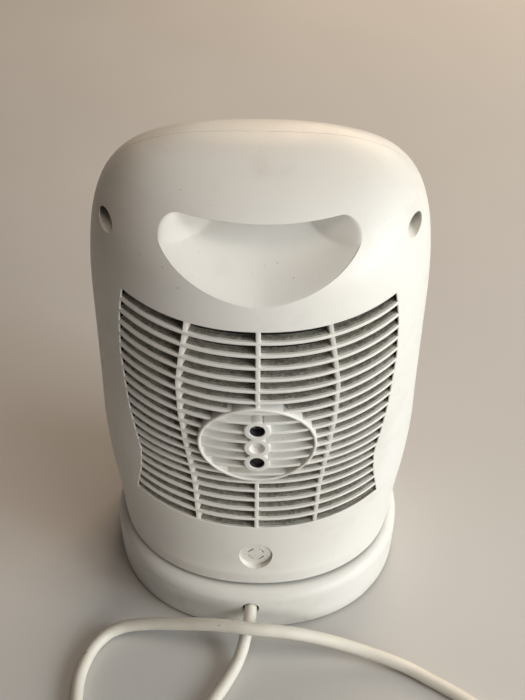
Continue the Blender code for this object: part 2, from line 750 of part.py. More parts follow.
def floor_loop(z):
    """The inner outline of both shells near the bottom edge."""
    half_width, half_depth, count = HALF_WIDTHS[0] - WALL - 1.0, REAR_DEPTHS[0] - WALL - 1.4, 20
    loop = []
    for rear in (True, False):
        power = REAR_ROUNDNESS if rear else FRONT_ROUNDNESS
        for i in range(count):
            angle = math.pi * (i + (0 if rear else count)) / count
            c, s = math.cos(angle), math.sin(angle)
            x = half_width * math.copysign(abs(c) ** (2 / power), c)
            loop.append((x, half_depth * math.copysign(abs(s) ** (2 / power), s), z))
    return loop


def build_swing():
    housing = ((0, 15.6), (23.5, 15.6), (25, 14), (25, 5.3), (0, 5.3))
    can = turned("swing_motor", housing, (0, CRANK_Y, 0), STEEL, steps=32)
    boolean(can, cylinder("swing_motor_bore", 3.4, 12, (0, CRANK_Y, 15.6), segments=16))
    lever = [(-4.5, CRANK_Y + 6), (-4.5, CRANK_Y - 24), (4.5, CRANK_Y - 24), (4.5, CRANK_Y + 6)]
    crank = slab("swing_crank", lever, 16.2, 18.8, BRASS)
    boolean(crank, cylinder("crank_spindle", 3.0, 7.6, (0, CRANK_Y, 14.2), segments=16), "UNION")
    boolean(crank, cylinder("crank_pin", 2.0, 9.0, (0, CRANK_Y - CRANK_THROW, 22), segments=16), "UNION")

    arm = slab("swing_arm", [(-9, 0), (-9, -70), (9, -70), (9, 0)], 22, 24.5, STEEL)
    boolean(arm, cylinder("arm_eye", 16, 2.5, (0, 0, 23.25), segments=32), "UNION")
    slot_top = CRANK_Y + CRANK_THROW + 3.5
    slot_low = CRANK_Y - CRANK_THROW - 4
    slot = [(-3.6, slot_top), (-3.6, slot_low), (3.6, slot_low), (3.6, slot_top)]
    boolean(arm, slab("arm_slot", slot, 15, 30))
    boolean(arm, cylinder("arm_bore", COLLAR_RADIUS + GAP, 20, (0, 0, 23), segments=32))

    collar = ((24, 41), (24, 38.4), (COLLAR_RADIUS, 38.4), (COLLAR_RADIUS, 20.5), (8, 20.5), (8, 41))
    turned("pivot_collar", collar, look=DARK_PLASTIC, steps=24, closed=True)
    ring("retaining_ring", COLLAR_RADIUS + GAP, 17, 26, 28.6, look=STEEL, steps=32)
    ring("thrust_washer", 14, 34, DECK_Z + GAP, 33.0, look=DARK_PLASTIC, steps=36)

    floor = loft("body_floor", [floor_loop(z) for z in (35.5, 38.0)], DARK_PLASTIC)
    boolean(floor, ring("floor_track", 16, 33, 33.3, 36, steps=36), "UNION")
    boolean(floor, cylinder("floor_bore", COLLAR_RADIUS + GAP, 20, (0, 0, 36), segments=32))


def screw(name, head, tip, centre, shank=1.5):
    """A pan-head screw along +Y, its head at the higher Y."""
    top = head + 2.2
    profile = ((0, top), (2.6, top), (3.2, head + 1.4), (3.2, head), (shank, head), (shank, tip), (0, tip))
    return turned(name, profile, centre, STEEL, along_y(), steps=14)


def build_screws():
    for name, side in (("well_screw_left", 1), ("well_screw_right", -1)):
        screw(name, 8.3, -14, (side * WELL_X, 0, WELL_Z))
    for name, side in (("motor_screw_top", 1), ("motor_screw_bottom", -1)):
        screw(name, 60.8, 52.3, (0, 0, FAN_AXIS_Z + side * BOSS_PITCH))


def spline_points(points, spacing):
    """Evenly spread points on a smooth curve through the given ones."""
    vectors = [Vector(point) for point in points]
    dense = []
    for i in range(len(vectors) - 1):
        before = vectors[max(0, i - 1)]
        start, end = vectors[i], vectors[i + 1]
        after = vectors[min(len(vectors) - 1, i + 2)]
        for step in range(12):
            t = step / 12
            dense.append(0.5 * (
                2 * start + (end - before) * t + (2 * before - 5 * start + 4 * end - after) * t * t
                + (3 * start - before - 3 * end + after) * t**3
            ))
    dense.append(vectors[-1])
    length = sum((b - a).length for a, b in zip(dense, dense[1:]))
    count = max(2, round(length / spacing))
    spread = [dense[0]]
    walked, target = 0.0, length / count
    for a, b in zip(dense, dense[1:]):
        part = (b - a).length
        while walked + part >= target - 1e-9 and len(spread) < count:
            spread.append(a.lerp(b, (target - walked) / part))
            target += length / count
        walked += part
    spread.append(dense[-1])
    return spread


def tube(name, points, diameter, look):
    curve = bpy.data.curves.new(name, "CURVE")
    curve.dimensions = "3D"
    curve.bevel_depth = diameter / 2 * MM
    curve.bevel_resolution = 2
    curve.use_fill_caps = True
    line = curve.splines.new("POLY")
    line.points.add(len(points) - 1)
    for target, point in zip(line.points, points):
        target.co = (*(point * MM), 1.0)
    thing = bpy.data.objects.new(name, curve)
    PARTS.objects.link(thing)
    curve.materials.append(look)
    return thing


CORD_ROUTE = (
    (2.5, 53, 20), (2.5, 65, 20), (2.5, 76.5, 20), (3.2, 84.0, 17.8), (5.0, 90, 13.6), (7.0, 96, 8.4),
    (10.0, 102.5, 4.6), (15, 112, 3.6),
    (21, 122, 3.6), (31, 138, 3.6), (46, 149, 3.6), (63, 152, 3.6), (79, 147, 3.6), (90, 136, 3.6), (
        94, 122, 3.6
    ),
    (92.4, 100, 3.6), (85, 87, 4.4), (76.8, 82.4, 6.2), (66.5, 81.6, 9), (42.5, 84.4, 15.5), (
        17.4, 88.6, 21.5
    ),
    (2.7, 91.4, 23.4), (-15, 91.8, 21.5), (-31.5, 91.4, 16.5), (-56.5, 93.4, 8.2), (-80.8, 100.3, 4.2),
    (-96, 108.4, 3.6), (-110.5, 117.3, 3.6), (-125, 128.5, 3.6), (-135, 142, 3.6), (-139.4, 157, 3.6), (
        -139.7, 172, 3.6
    ),
)


def build_cord():
    tube("mains_cord", spline_points(CORD_ROUTE, 12.5), CORD_DIAMETER, CORD_WHITE)
    half = 7.2
    section = []
    for k in range(8):
        angle = math.radians(-22.5 - 45 * k)
        section.append((COIL_RADIUS + half / math.cos(math.radians(22.5)) * math.cos(angle),
                        half + 0.02 + half / math.cos(math.radians(22.5)) * math.sin(angle)))
    coil = turned("cord_coil", section, (*COIL_CENTRE, 0), CORD_WHITE, steps=28, closed=True)
    end = CORD_ROUTE[-1]
    room = CORD_DIAMETER + 1.4
    notch = box("cord_landing", (room, 40, room), (end[0] + 0.2, end[1] + GAP - 20, end[2]))
    boolean(coil, notch)
    tie = ring("cord_tie", 9.4, 11.0, -4, 4, (COIL_CENTRE[0], COIL_CENTRE[1] - COIL_RADIUS, half + 0.02),
               DARK_PLASTIC, Matrix.Rotation(math.radians(90), 3, "Y"), 20)
    boolean(tie, box("tie_flat", (20, 40, 10), (COIL_CENTRE[0], COIL_CENTRE[1] - COIL_RADIUS, -5 + 0.02)))

    along_x = Matrix.Rotation(math.radians(90), 3, "Y")
    plug_at = (COIL_CENTRE[0] + 4, COIL_CENTRE[1] + COIL_RADIUS, 2 * half + 0.4 + 13)
    profile = ((0, 50), (17.5, 50), (18.5, 48), (18.5, 34), (11, 22), (7.5, 12), (5.2, 0), (0, 0))
    plug = turned("plug_body", profile, plug_at, CORD_WHITE, along_x, steps=24)
    for side in (-1, 1):
        keep_out = box(
            f"plug_flat_{side}", (120, 60, 30), (plug_at[0] + 20, plug_at[1], plug_at[2] + side * 28),
        )
        boolean(plug, keep_out)
    for name, side in (("plug_pin_left", -1), ("plug_pin_right", 1)):
        at = (plug_at[0], plug_at[1] + side * 9.5, plug_at[2])
        turned(name, ((0, 69), (1.8, 69), (2.4, 68), (2.4, 50.3), (0, 50.3)), at, STEEL, along_x, steps=16)

    hole_x, hole_z = CORD_HOLE
    ring("cord_bushing", CORD_DIAMETER / 2 + 0.4, CORD_HOLE_RADIUS - 0.15, 70.5, 75.2, (hole_x, 0, hole_z),
         RUBBER, along_y(), 20)
    clamp = box("cord_clamp", (22, 10, 16), (hole_x, 60, 5.3 + 8 + 1.2), DARK_PLASTIC, bevel=0.8)
    boolean(
        clamp, cylinder("clamp_bore", CORD_DIAMETER / 2 + 0.4, 30, (hole_x, 60, hole_z), turn=along_y()),
    )


build_rear_shell()
build_dust_filter()
build_front()
build_controls()
build_fan()
build_heater()
build_base()
build_swing()
build_screws()
build_cord()
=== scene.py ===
"""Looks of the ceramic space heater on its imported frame.

Finer visible pieces, finishes, floor, light and camera. Lengths are in millimetres unless a
comment says otherwise; the back of the heater faces +Y.
"""

import math

import bmesh
import bpy
import numpy as np
from mathutils import Matrix, Vector


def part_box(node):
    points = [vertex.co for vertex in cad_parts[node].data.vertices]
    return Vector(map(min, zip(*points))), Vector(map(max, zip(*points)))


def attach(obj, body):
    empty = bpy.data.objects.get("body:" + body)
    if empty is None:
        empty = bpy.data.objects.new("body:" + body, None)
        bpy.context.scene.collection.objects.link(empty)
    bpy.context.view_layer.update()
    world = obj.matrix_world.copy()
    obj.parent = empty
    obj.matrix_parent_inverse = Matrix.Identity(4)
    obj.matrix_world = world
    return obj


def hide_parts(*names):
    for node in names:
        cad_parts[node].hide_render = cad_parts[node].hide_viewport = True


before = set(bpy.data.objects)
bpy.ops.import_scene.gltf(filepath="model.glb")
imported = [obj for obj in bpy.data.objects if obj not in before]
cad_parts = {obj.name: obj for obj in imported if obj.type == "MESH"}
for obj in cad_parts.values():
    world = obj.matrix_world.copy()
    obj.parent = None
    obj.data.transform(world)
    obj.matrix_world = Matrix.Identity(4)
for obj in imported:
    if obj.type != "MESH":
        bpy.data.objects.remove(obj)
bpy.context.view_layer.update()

MM = 0.001
SEAM_Y = 2.0
SEAM_GAP = 0.3
WALL = 2.0

# Body stations from the bottom edge to the crown: level, half width, rear depth, front depth.
STATIONS = (
    (34.0, 79.8, 69.6, 69.6),
    (38.0, 80.2, 69.6, 69.3),
    (41.6, 80.5, 69.3, 69.0),
    (44.5, 80.7, 68.2, 68.7),
    (52.0, 81.1, 66.4, 68.0),
    (60.0, 81.6, 65.4, 67.5),
    (84.0, 83.9, 62.8, 66.5),
    (108.0, 84.7, 61.6, 66.0),
    (140.0, 83.2, 66.4, 65.4),
    (175.0, 81.8, 69.2, 64.0),
    (205.0, 80.6, 69.6, 60.0),
    (222.0, 79.0, 68.6, 55.0),
    (236.0, 76.6, 65.4, 47.5),
    (247.0, 72.8, 57.6, 39.5),
    (256.0, 66.5, 47.0, 31.0),
    (263.0, 57.5, 34.0, 23.0),
    (267.5, 45.0, 22.0, 16.5),
    (269.5, 34.0, 15.0, 12.4),
    (270.3, 22.0, 9.2, 8.0),
    (270.6, 11.0, 4.4, 4.0),
    (270.7, 0.0, 0.0, 0.0),
)
REAR_ROUNDNESS = 2.12
FRONT_ROUNDNESS = 2.5

GRILLE_TOP = 213.5
GRILLE_BOTTOM = 75.5
SLAT_COUNT = 19
SLAT_HEIGHT = 1.75
SLAT_DEPTH = 4.7
SLAT_INSET = 0.05
SLAT_RISE = 7.3
SLAT_RISE_AT = 63.0
CLEAN_DEPTH = 1.6
RIB_CREST = -0.12
SIDE_RIB_CREST = -0.6
# Half width of the grille, and the side ribs' distance from the middle, by level.
GRILLE_EDGE = (
    (75, 66), (102, 60.7), (118, 59.4), (131, 61), (150, 62.8), (182, 63.6), (204, 61.8), (214, 60.2),
    (221, 58.8)
)
GRILLE_RIB = (
    (75, 31), (100, 32), (120, 33.7), (137, 35.1), (158, 36.4), (177, 36.3), (193, 34), (214, 30.4)
)
FAN_AXIS_Z = 140.5
RING_RADIUS = 27.8
RING_DEPTH = 7.0
RING_HALF_WALL = 0.8
RING_PROUD = 0.25
BOSS_PITCH = 12.7
BOSS_RADIUS = 6.4
BOSS_BORE = 3.6
BOSS_PROUD = 0.35
BOSS_CORNER = 0.7
BOSS_BACK_Y = 58.4
THROAT_RIM_Y = 60.9
THROAT_CENTRE_Y = 60.4
NET_GAP = 2.2
EDGE_BEAD = 0.5

SCOOP_TIP = (42.0, 247.8)
SCOOP_LOW = 225.3
SCOOP_LIP = 254.0
SCOOP_LIP_RISE = 1.1
SCOOP_LIP_HALF = 33.0
SCOOP_DEPTH = 20.0
SCOOP_END_SLOPE = 0.78
SCOOP_END_EDGE = 1.3
SCOOP_ROOF_SLOPE = 6.0
SCOOP_ROOF_EDGE = 0.5
SCOOP_FLOOR_EDGE = 0.035

WELL_X = 66.0
WELL_Z = 243.0
WELL_RADIUS = 3.7
WELL_WALL = 1.6
WELL_FLOOR_Y = 8.5
POCKET_Z = 54.2
POCKET_RADIUS = 9.0
POCKET_WALL = 1.9
POCKET_FLOOR_Y = 64.8
SLOT_INNER = 3.9
SLOT_OUTER = 4.8
SLOT_SWEEP = math.radians(26)
SLOT_DEPTH = 1.3

OUTLET_HALF_WIDTH = 58.0
OUTLET_BOTTOM = 86.0
OUTLET_TOP = 192.0
PANEL_CENTRE = (0.0, -55.0, 220.0)
PANEL_TILT = 68.0
PANEL_SIZE = (92.0, 36.0)

BASE_HALF_WIDTH = 85.5
BASE_HALF_DEPTH = 77.0
BASE_ROUNDNESS = 2.18
SHOULDER_Z = 25.0
SHOULDER_RUN = 6.3
SHOULDER_RISE = 6.5
DECK_Z = 30.8
DECK_UNDERSIDE = 28.6
PIVOT_HOLE_RADIUS = 11.7
# Rows of the base's profile past this inset lie on the edge of the pivot's hole.
PIVOT_HOLE_INSET = 60
CORD_HOLE = (2.5, 20.0)
CORD_HOLE_RADIUS = 4.8

CORD_DIAMETER = 6.9
COIL_CENTRE = (-104.0, 190.0)
COIL_INNER, COIL_OUTER = 34.5, 41.5
COIL_LOW, COIL_HIGH = 3.6, 10.6
CORD_ROUTE = (
    (2.5, 53, 20), (2.5, 65, 20), (2.5, 76.5, 20), (3.2, 84.0, 17.8), (5.0, 90, 13.6), (7.0, 96, 8.4),
    (10.0, 102.5, 4.6), (15, 112, 3.6), (21, 122, 3.6), (31, 138, 3.6), (46, 149, 3.6), (63, 152, 3.6),
    (79, 147, 3.6), (90, 136, 3.6), (94, 122, 3.6), (92.4, 100, 3.6), (85, 87, 4.4), (76.8, 82.4, 6.2),
    (66.5, 81.6, 9), (42.5, 84.4, 15.5), (17.4, 88.6, 21.5), (2.7, 91.4, 23.4), (-15, 91.8, 21.5),
    (-31.5, 91.4, 16.5), (-56.5, 93.4, 8.2), (-80.8, 100.3, 4.2), (-96, 108.4, 3.6), (-110.5, 117.3, 3.6),
    (-125, 128.5, 3.6), (-135, 142, 3.6), (-139.4, 157, 3.6), (-139.7, 172, 3.6),
)

# The camera's place in metres, and the way it looks.
CAMERA_PLACE = (-0.00266, 0.3338, 0.43161)
CAMERA_FORWARD = (0.00218736, -0.75842061, -0.65176176)
CAMERA_UP = (0.01703305, -0.65164051, 0.75833668)
CAMERA_LENS = 42.56
SENSOR_WIDTH = 36.0

scene = bpy.context.scene


# ---------------------------------------------------------------- camera

def make_camera():
    data = bpy.data.cameras.new("camera")
    data.lens = CAMERA_LENS
    data.sensor_width = SENSOR_WIDTH
    data.clip_start = 0.01
    data.clip_end = 50.0
    camera = bpy.data.objects.new("camera", data)
    scene.collection.objects.link(camera)
    forward, up = Vector(CAMERA_FORWARD), Vector(CAMERA_UP)
    right = forward.cross(up).normalized()
    up = right.cross(forward).normalized()
    turn = Matrix((right, up, -forward)).transposed().to_4x4()
    camera.matrix_world = Matrix.Translation(CAMERA_PLACE) @ turn
    scene.camera = camera


make_camera()


# ---------------------------------------------------------------- materials

class Look:
    """A Principled material with its node tree at hand."""

    def __init__(self, name, roughness=0.5, metallic=0.0, specular=0.5):
        self.material = bpy.data.materials.new(name)
        self.material.use_nodes = True
        self.tree = self.material.node_tree
        self.shader = self.tree.nodes["Principled BSDF"]
        self.shader.inputs["Roughness"].default_value = roughness
        self.shader.inputs["Metallic"].default_value = metallic
        self.shader.inputs["Specular IOR Level"].default_value = specular
        self.place = self.tree.nodes.new("ShaderNodeTexCoord").outputs["Object"]

    def node(self, kind, **values):
        made = self.tree.nodes.new(kind)
        for key, value in values.items():
            setattr(made, key, value)
        return made

    def wire(self, source, target):
        self.tree.links.new(source, target)

    def noise(self, scale, detail=3.0, roughness=0.5, stretch=None, distortion=0.0):
        made = self.node("ShaderNodeTexNoise")
        made.inputs["Scale"].default_value = scale
        made.inputs["Detail"].default_value = detail
        made.inputs["Roughness"].default_value = roughness
        made.inputs["Distortion"].default_value = distortion
        source = self.place
        if stretch:
            mapping = self.node("ShaderNodeMapping")
            mapping.inputs["Scale"].default_value = stretch
            self.wire(source, mapping.inputs["Vector"])
            source = mapping.outputs["Vector"]
        self.wire(source, made.inputs["Vector"])
        return made.outputs["Fac"]

    def ramp(self, source, stops):
        made = self.node("ShaderNodeValToRGB")
        points = made.color_ramp.elements
        while len(points) < len(stops):
            points.new(0.5)
        for point, (at, colour) in zip(points, stops):
            point.position = at
            point.color = (*colour, 1.0)
        self.wire(source, made.inputs["Fac"])
        return made.outputs["Color"]

    def scalar(self, source, low, high, to_low=0.0, to_high=1.0):
        made = self.node("ShaderNodeMapRange")
        made.clamp = True
        ends = {"From Min": low, "From Max": high, "To Min": to_low, "To Max": to_high}
        for key, value in ends.items():
            made.inputs[key].default_value = value
        self.wire(source, made.inputs["Value"])
        return made.outputs["Result"]

    def mix(self, share, a, b):
        made = self.node("ShaderNodeMix", data_type="RGBA")
        self.wire(share, made.inputs["Factor"])
        for socket, value in ((made.inputs[6], a), (made.inputs[7], b)):
            if isinstance(value, tuple):
                socket.default_value = (*value, 1.0)
            else:
                self.wire(value, socket)
        return made.outputs[2]

    def maths(self, operation, a, b=0.0):
        made = self.node("ShaderNodeMath", operation=operation)
        for socket, value in zip(made.inputs, (a, b)):
            if isinstance(value, (int, float)):
                socket.default_value = value
            else:
                self.wire(value, socket)
        return made.outputs[0]

    def axis(self, name):
        made = self.node("ShaderNodeSeparateXYZ")
        self.wire(self.place, made.inputs[0])
        return made.outputs[name]

    def colour(self, source):
        self.wire(source, self.shader.inputs["Base Color"])

    def rough(self, source):
        self.wire(source, self.shader.inputs["Roughness"])

    def bump(self, height, distance, strength=1.0):
        made = self.node("ShaderNodeBump")
        made.inputs["Strength"].default_value = strength
        made.inputs["Distance"].default_value = distance
        self.wire(height, made.inputs["Height"])
        self.wire(made.outputs["Normal"], self.shader.inputs["Normal"])


def moulded_plastic(name, colour, aged, roughness=0.42, grime=0.25, low_darkening=None):
    """Moulded plastic with faint yellowing, a fine moulded grain, scuffs and specks of grime."""
    look = Look(name, roughness)
    cloud = look.noise(9.0, 4.0, 0.55)
    base = look.mix(look.scalar(cloud, 0.38, 0.66), colour, aged)
    smear = look.noise(34.0, 5.0, 0.62, distortion=0.5)
    dusty = look.scalar(smear, 0.56, 0.78, 0.0, grime)
    base = look.mix(dusty, base, (0.50, 0.45, 0.36))
    specks = look.noise(620.0, 2.0, 0.5)
    base = look.mix(look.scalar(specks, 0.735, 0.79, 0.0, 0.55), base, (0.20, 0.17, 0.13))
    # Patches darker towards the bottom, fading out between the two given levels.
    if low_darkening:
        near_floor = look.scalar(look.axis("Z"), low_darkening[0] * MM, low_darkening[1] * MM, 1.0, 0.0)
        patches = look.maths("MULTIPLY", near_floor, look.scalar(smear, 0.36, 0.7, 0.1, 0.6))
        base = look.mix(patches, base, (0.42, 0.37, 0.30))
    look.colour(base)
    look.rough(look.scalar(look.noise(60.0, 4.0, 0.6), 0.3, 0.75, roughness - 0.06, roughness + 0.12))
    grain = look.noise(2600.0, 2.0, 0.5)
    waves = look.noise(26.0, 2.0, 0.5)
    look.bump(look.maths("ADD", look.maths("MULTIPLY", grain, 0.18), waves), 0.00016, 0.5)
    return look.material


SHELL = moulded_plastic("shell_plastic", (0.80, 0.79, 0.755), (0.775, 0.755, 0.70))
BASE = moulded_plastic("base_plastic", (0.79, 0.785, 0.76), (0.76, 0.745, 0.70), low_darkening=(0, 9))


def mottled(name, roughness, shades, patches, gloss, grain, specular=0.5):
    """A material between two shades, with uneven gloss and a fine grain.

    patches is (scale, detail, low, high) of the noise between the shades, gloss is (scale, detail,
    least, most) of the roughness, and grain is (scale, detail, depth in metres, strength).
    """
    look = Look(name, roughness, specular=specular)
    look.colour(look.mix(look.scalar(look.noise(*patches[:2]), *patches[2:]), *shades))
    look.rough(look.scalar(look.noise(*gloss[:2]), 0.3, 0.7, *gloss[2:]))
    look.bump(look.noise(*grain[:2]), *grain[2:])
    return look.material


def cord_pvc():
    look = Look("cord_pvc", 0.48)
    patches = look.scalar(look.noise(42.0, 3.0), 0.35, 0.7)
    base = look.mix(patches, (0.80, 0.775, 0.70), (0.73, 0.695, 0.61))
    specks = look.scalar(look.noise(260.0, 3.0, 0.6), 0.66, 0.74, 0.0, 0.6)
    base = look.mix(specks, base, (0.36, 0.29, 0.21))
    look.colour(base)
    look.rough(look.scalar(look.noise(130.0, 3.0), 0.3, 0.7, 0.40, 0.56))
    look.bump(look.noise(900.0, 3.0), 0.00008, 0.5)
    return look.material


def dusty_filter():
    """Fine filter net, clogged with grey-beige dust and lint."""
    look = Look("dusty_filter", 0.95, specular=0.1)
    lint = look.noise(420.0, 6.0, 0.7, (1.0, 1.0, 1.6), 0.4)
    clumps = look.noise(70.0, 4.0, 0.6)
    shades = ((0.30, (0.10, 0.095, 0.08)), (0.5, (0.27, 0.255, 0.215)), (0.72, (0.47, 0.445, 0.385)))
    base = look.ramp(lint, shades)
    base = look.mix(look.scalar(clumps, 0.42, 0.72, 0.0, 0.75), base, (0.44, 0.42, 0.36))
    look.colour(base)
    look.rough(look.scalar(lint, 0.3, 0.7, 0.9, 1.0))
    look.bump(lint, 0.0006, 1.0)
    return look.material


def dark_plastic(name, colour=(0.035, 0.035, 0.037), roughness=0.5):
    lighter = tuple(c * 1.8 + 0.01 for c in colour)
    gloss = (80.0, 3.0, roughness - 0.08, roughness + 0.12)
    grain = (1900.0, 2.0, 0.00008, 0.5)
    return mottled(name, roughness, (colour, lighter), (45.0, 4.0, 0.45, 0.8), gloss, grain)


def metal(name, colour, tarnish, roughness=0.32, stretch=(1, 1, 12)):
    look = Look(name, roughness, metallic=1.0)
    streaks = look.noise(300.0, 4.0, 0.6, stretch)
    patches = look.scalar(look.noise(60.0, 4.0), 0.45, 0.75)
    look.colour(look.mix(patches, colour, tarnish))
    look.rough(look.scalar(streaks, 0.3, 0.7, roughness - 0.08, roughness + 0.14))
    look.bump(streaks, 0.00003, 0.5)
    return look.material


def rubber(name):
    return mottled(
        name, 0.85, ((0.028, 0.028, 0.028), (0.09, 0.085, 0.08)),
        (70.0, 4.0, 0.45, 0.8), (150.0, 3.0, 0.75, 0.92), (1400.0, 3.0, 0.0001, 0.6), specular=0.3,
    )


PANEL = mottled(
    "panel_plastic", 0.5, ((0.26, 0.27, 0.28), (0.31, 0.315, 0.32)),
    (30.0, 4.0, 0.4, 0.7), (90.0, 3.0, 0.42, 0.58), (2100.0, 2.0, 0.00008, 0.6),
)
KNOB = mottled(
    "knob_plastic", 0.36, ((0.79, 0.78, 0.74), (0.72, 0.69, 0.62)),
    (55.0, 4.0, 0.45, 0.75), (110.0, 3.0, 0.30, 0.44), (1800.0, 2.0, 0.00005, 0.5),
)
CORD = cord_pvc()
FILTER = dusty_filter()
# The net behind the slats takes a near-black rubber look as painted shade of the dark void behind the grille.
PAINTED_SHADE_NET = rubber("net_painted_shade")
DARK = dark_plastic("dark_plastic")
FAN = dark_plastic("fan_plastic", (0.02, 0.02, 0.021), 0.38)
CAP = moulded_plastic("cap_plastic", (0.74, 0.76, 0.72), (0.66, 0.67, 0.61), 0.5, 0.45)
STEEL = metal("steel", (0.58, 0.58, 0.59), (0.42, 0.41, 0.39))
# Near-black steel for the motor screws, which sit at the bottom of dark bores.
NEAR_BLACK_STEEL = metal("near_black_steel", (0.05, 0.05, 0.05), (0.09, 0.08, 0.07), 0.42)
BRASS = metal("brass", (0.74, 0.56, 0.27), (0.55, 0.40, 0.20))
CERAMIC = mottled(
    "ceramic_stone", 0.75, ((0.66, 0.63, 0.57), (0.52, 0.47, 0.40)),
    (120.0, 5.0, 0.4, 0.7), (200.0, 3.0, 0.65, 0.85), (1200.0, 3.0, 0.0001, 0.6),
)
RUBBER = rubber("rubber")
AMBER = mottled(
    "amber_lens", 0.16, ((0.80, 0.26, 0.035), (0.66, 0.17, 0.02)),
    (240.0, 3.0, 0.4, 0.7), (300.0, 2.0, 0.10, 0.22), (500.0, 1.0, 0.00004, 0.4),
)

NODE_LOOKS = {
    "front_shell": SHELL, "outlet_grille": PANEL, "control_panel": PANEL, "function_knob": KNOB,
    "thermostat_knob": KNOB, "swing_button": KNOB, "power_lamp": AMBER, "rear_shell": SHELL,
    "base_cover": BASE, "dust_filter": FILTER, "motor_cap": CAP, "motor_screw_top": NEAR_BLACK_STEEL,
    "motor_screw_bottom": NEAR_BLACK_STEEL, "fan_impeller": FAN, "ceramic_element": CERAMIC,
    "terminal_live": BRASS, "terminal_neutral": BRASS, "swing_crank": BRASS, "tip_plunger": KNOB,
    "mains_cord": CORD, "cord_coil": CORD, "plug_body": CORD, "cord_bushing": RUBBER,
}
for name in (
    "fan_shaft", "fan_motor", "thermostat", "thermal_cutout", "thermal_fuse", "swing_motor", "swing_arm",
    "retaining_ring", "well_screw_left", "well_screw_right", "plug_pin_left", "plug_pin_right",
):
    NODE_LOOKS[name] = STEEL
for k in range(4):
    NODE_LOOKS[f"plate_screw_{k + 1}"] = STEEL
    NODE_LOOKS[f"rubber_foot_{k + 1}"] = RUBBER


def dress(thing, look):
    thing.data.materials.clear()
    thing.data.materials.append(look)
    return thing


for name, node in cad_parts.items():
    dress(node, NODE_LOOKS.get(name, DARK))


# ---------------------------------------------------------------- shapes

def between(stations, z):
    return np.interp(z, [s[0] for s in stations], [s[1] for s in stations])


def smooth_profile():
    """Dense (level, half width, rear depth, front depth) rows on a smooth curve through the stations."""
    points = np.array(STATIONS, float)
    gaps = np.linalg.norm(np.diff(points[:, :3], axis=0), axis=1)
    chord = np.concatenate([[0], np.cumsum(np.sqrt(gaps))])
    slopes = np.gradient(points, chord, axis=0)
    slopes[-1, 0] = 0.0
    rows = []
    for k in range(len(points) - 1):
        span = chord[k + 1] - chord[k]
        steps = np.linspace(0, 1, 24, endpoint=k == len(points) - 2)[:, None]
        start, end = slopes[k] * span, slopes[k + 1] * span
        rise = points[k + 1] - points[k]
        bend = 3 * rise - 2 * start - end + steps * (start + end - 2 * rise)
        rows.append(points[k] + steps * (start + steps * bend))
    rows = np.concatenate(rows)
    rows[:, 0] = np.maximum.accumulate(rows[:, 0])
    return rows


PROFILE = smooth_profile()


def at_level(z, column):
    return np.interp(z, PROFILE[:, 0], PROFILE[:, column])


def rear_y(x, z):
    """How far back the rear surface lies at this place."""
    across = np.minimum(1.0, np.abs(x) / np.maximum(at_level(z, 1), 1e-6))
    depth = at_level(z, 2) - SEAM_Y
    share = np.clip(1.0 - across**REAR_ROUNDNESS, 0, 1)
    return SEAM_Y + depth * share ** (1 / REAR_ROUNDNESS)


def rear_normal(x, z):
    step = 0.25
    slope_x = (rear_y(x + step, z) - rear_y(x - step, z)) / (2 * step)
    slope_z = (rear_y(x, z + step) - rear_y(x, z - step)) / (2 * step)
    normal = np.stack([-slope_x, np.ones_like(slope_x), -slope_z], axis=-1)
    return normal / np.linalg.norm(normal, axis=-1, keepdims=True)


def on_rear(x, z, out=0.0):
    """Points on the rear surface, moved out along its normal."""
    x, z = np.asarray(x, float), np.asarray(z, float)
    return np.stack([x, rear_y(x, z), z], axis=-1) + rear_normal(x, z) * np.asarray(out)[..., None]


def scoop_lower(x):
    """Level of the scoop's lower edge."""
    share = np.minimum(1.0, np.abs(x) / SCOOP_TIP[0])
    return SCOOP_TIP[1] - (SCOOP_TIP[1] - SCOOP_LOW) * (1 - share**1.6) ** 0.66


def scoop_upper(x):
    """Level of the lip over the scoop, with a round lobe at each end."""
    across = np.abs(x)
    lip = SCOOP_LIP + SCOOP_LIP_RISE * (across / SCOOP_LIP_HALF) ** 2
    corner = np.clip((across - SCOOP_LIP_HALF) / (SCOOP_TIP[0] - SCOOP_LIP_HALF), 0, 1)
    lobe = SCOOP_TIP[1] + (SCOOP_LIP + SCOOP_LIP_RISE - SCOOP_TIP[1]) * np.sqrt(1 - corner**2)
    return np.where(across < SCOOP_LIP_HALF, lip, lobe)


def soft_least(a, b, soft):
    """The smaller of two depths, blended where they are nearly equal."""
    return 0.5 * (a + b - np.sqrt((a - b) ** 2 + soft**2))


def rounded_wall(inward, steep, edge):
    """Depth of a wall that starts flush, turns over a rounded edge and goes on at its own steepness."""
    return steep * (np.sqrt(np.maximum(inward, 0.0) ** 2 + edge**2) - edge)


def scoop_depth(x, z):
    """Depth of the finger scoop: a hollow floor that runs up under the lip, between two sloping ends."""
    across = np.sqrt(x**2 + 1.0) - 1.0
    share = np.minimum(1.0, across / SCOOP_TIP[0])
    rise = np.clip((z - scoop_lower(across)) / (SCOOP_LIP - SCOOP_LOW), 0.0, 1.0)
    rise = np.sqrt(rise**2 + SCOOP_FLOOR_EDGE**2) - SCOOP_FLOOR_EDGE
    reach = SCOOP_DEPTH * np.sqrt(np.maximum(0.0, 1 - (share * 0.985) ** 3))
    floor = reach * np.sin(0.5 * math.pi * np.minimum(1.0, rise)) ** 0.92
    height = np.clip((z - SCOOP_TIP[1]) / (SCOOP_LIP + SCOOP_LIP_RISE - SCOOP_TIP[1]), 0, 1)
    end = SCOOP_LIP_HALF + (SCOOP_TIP[0] - SCOOP_LIP_HALF) * np.sqrt(1 - height**2)
    sides = rounded_wall(end - np.abs(x), SCOOP_END_SLOPE, SCOOP_END_EDGE)
    roof = rounded_wall(scoop_upper(x) - z, SCOOP_ROOF_SLOPE, SCOOP_ROOF_EDGE)
    return np.maximum(soft_least(floor, soft_least(sides, roof, 0.3), 0.35), 0.0)


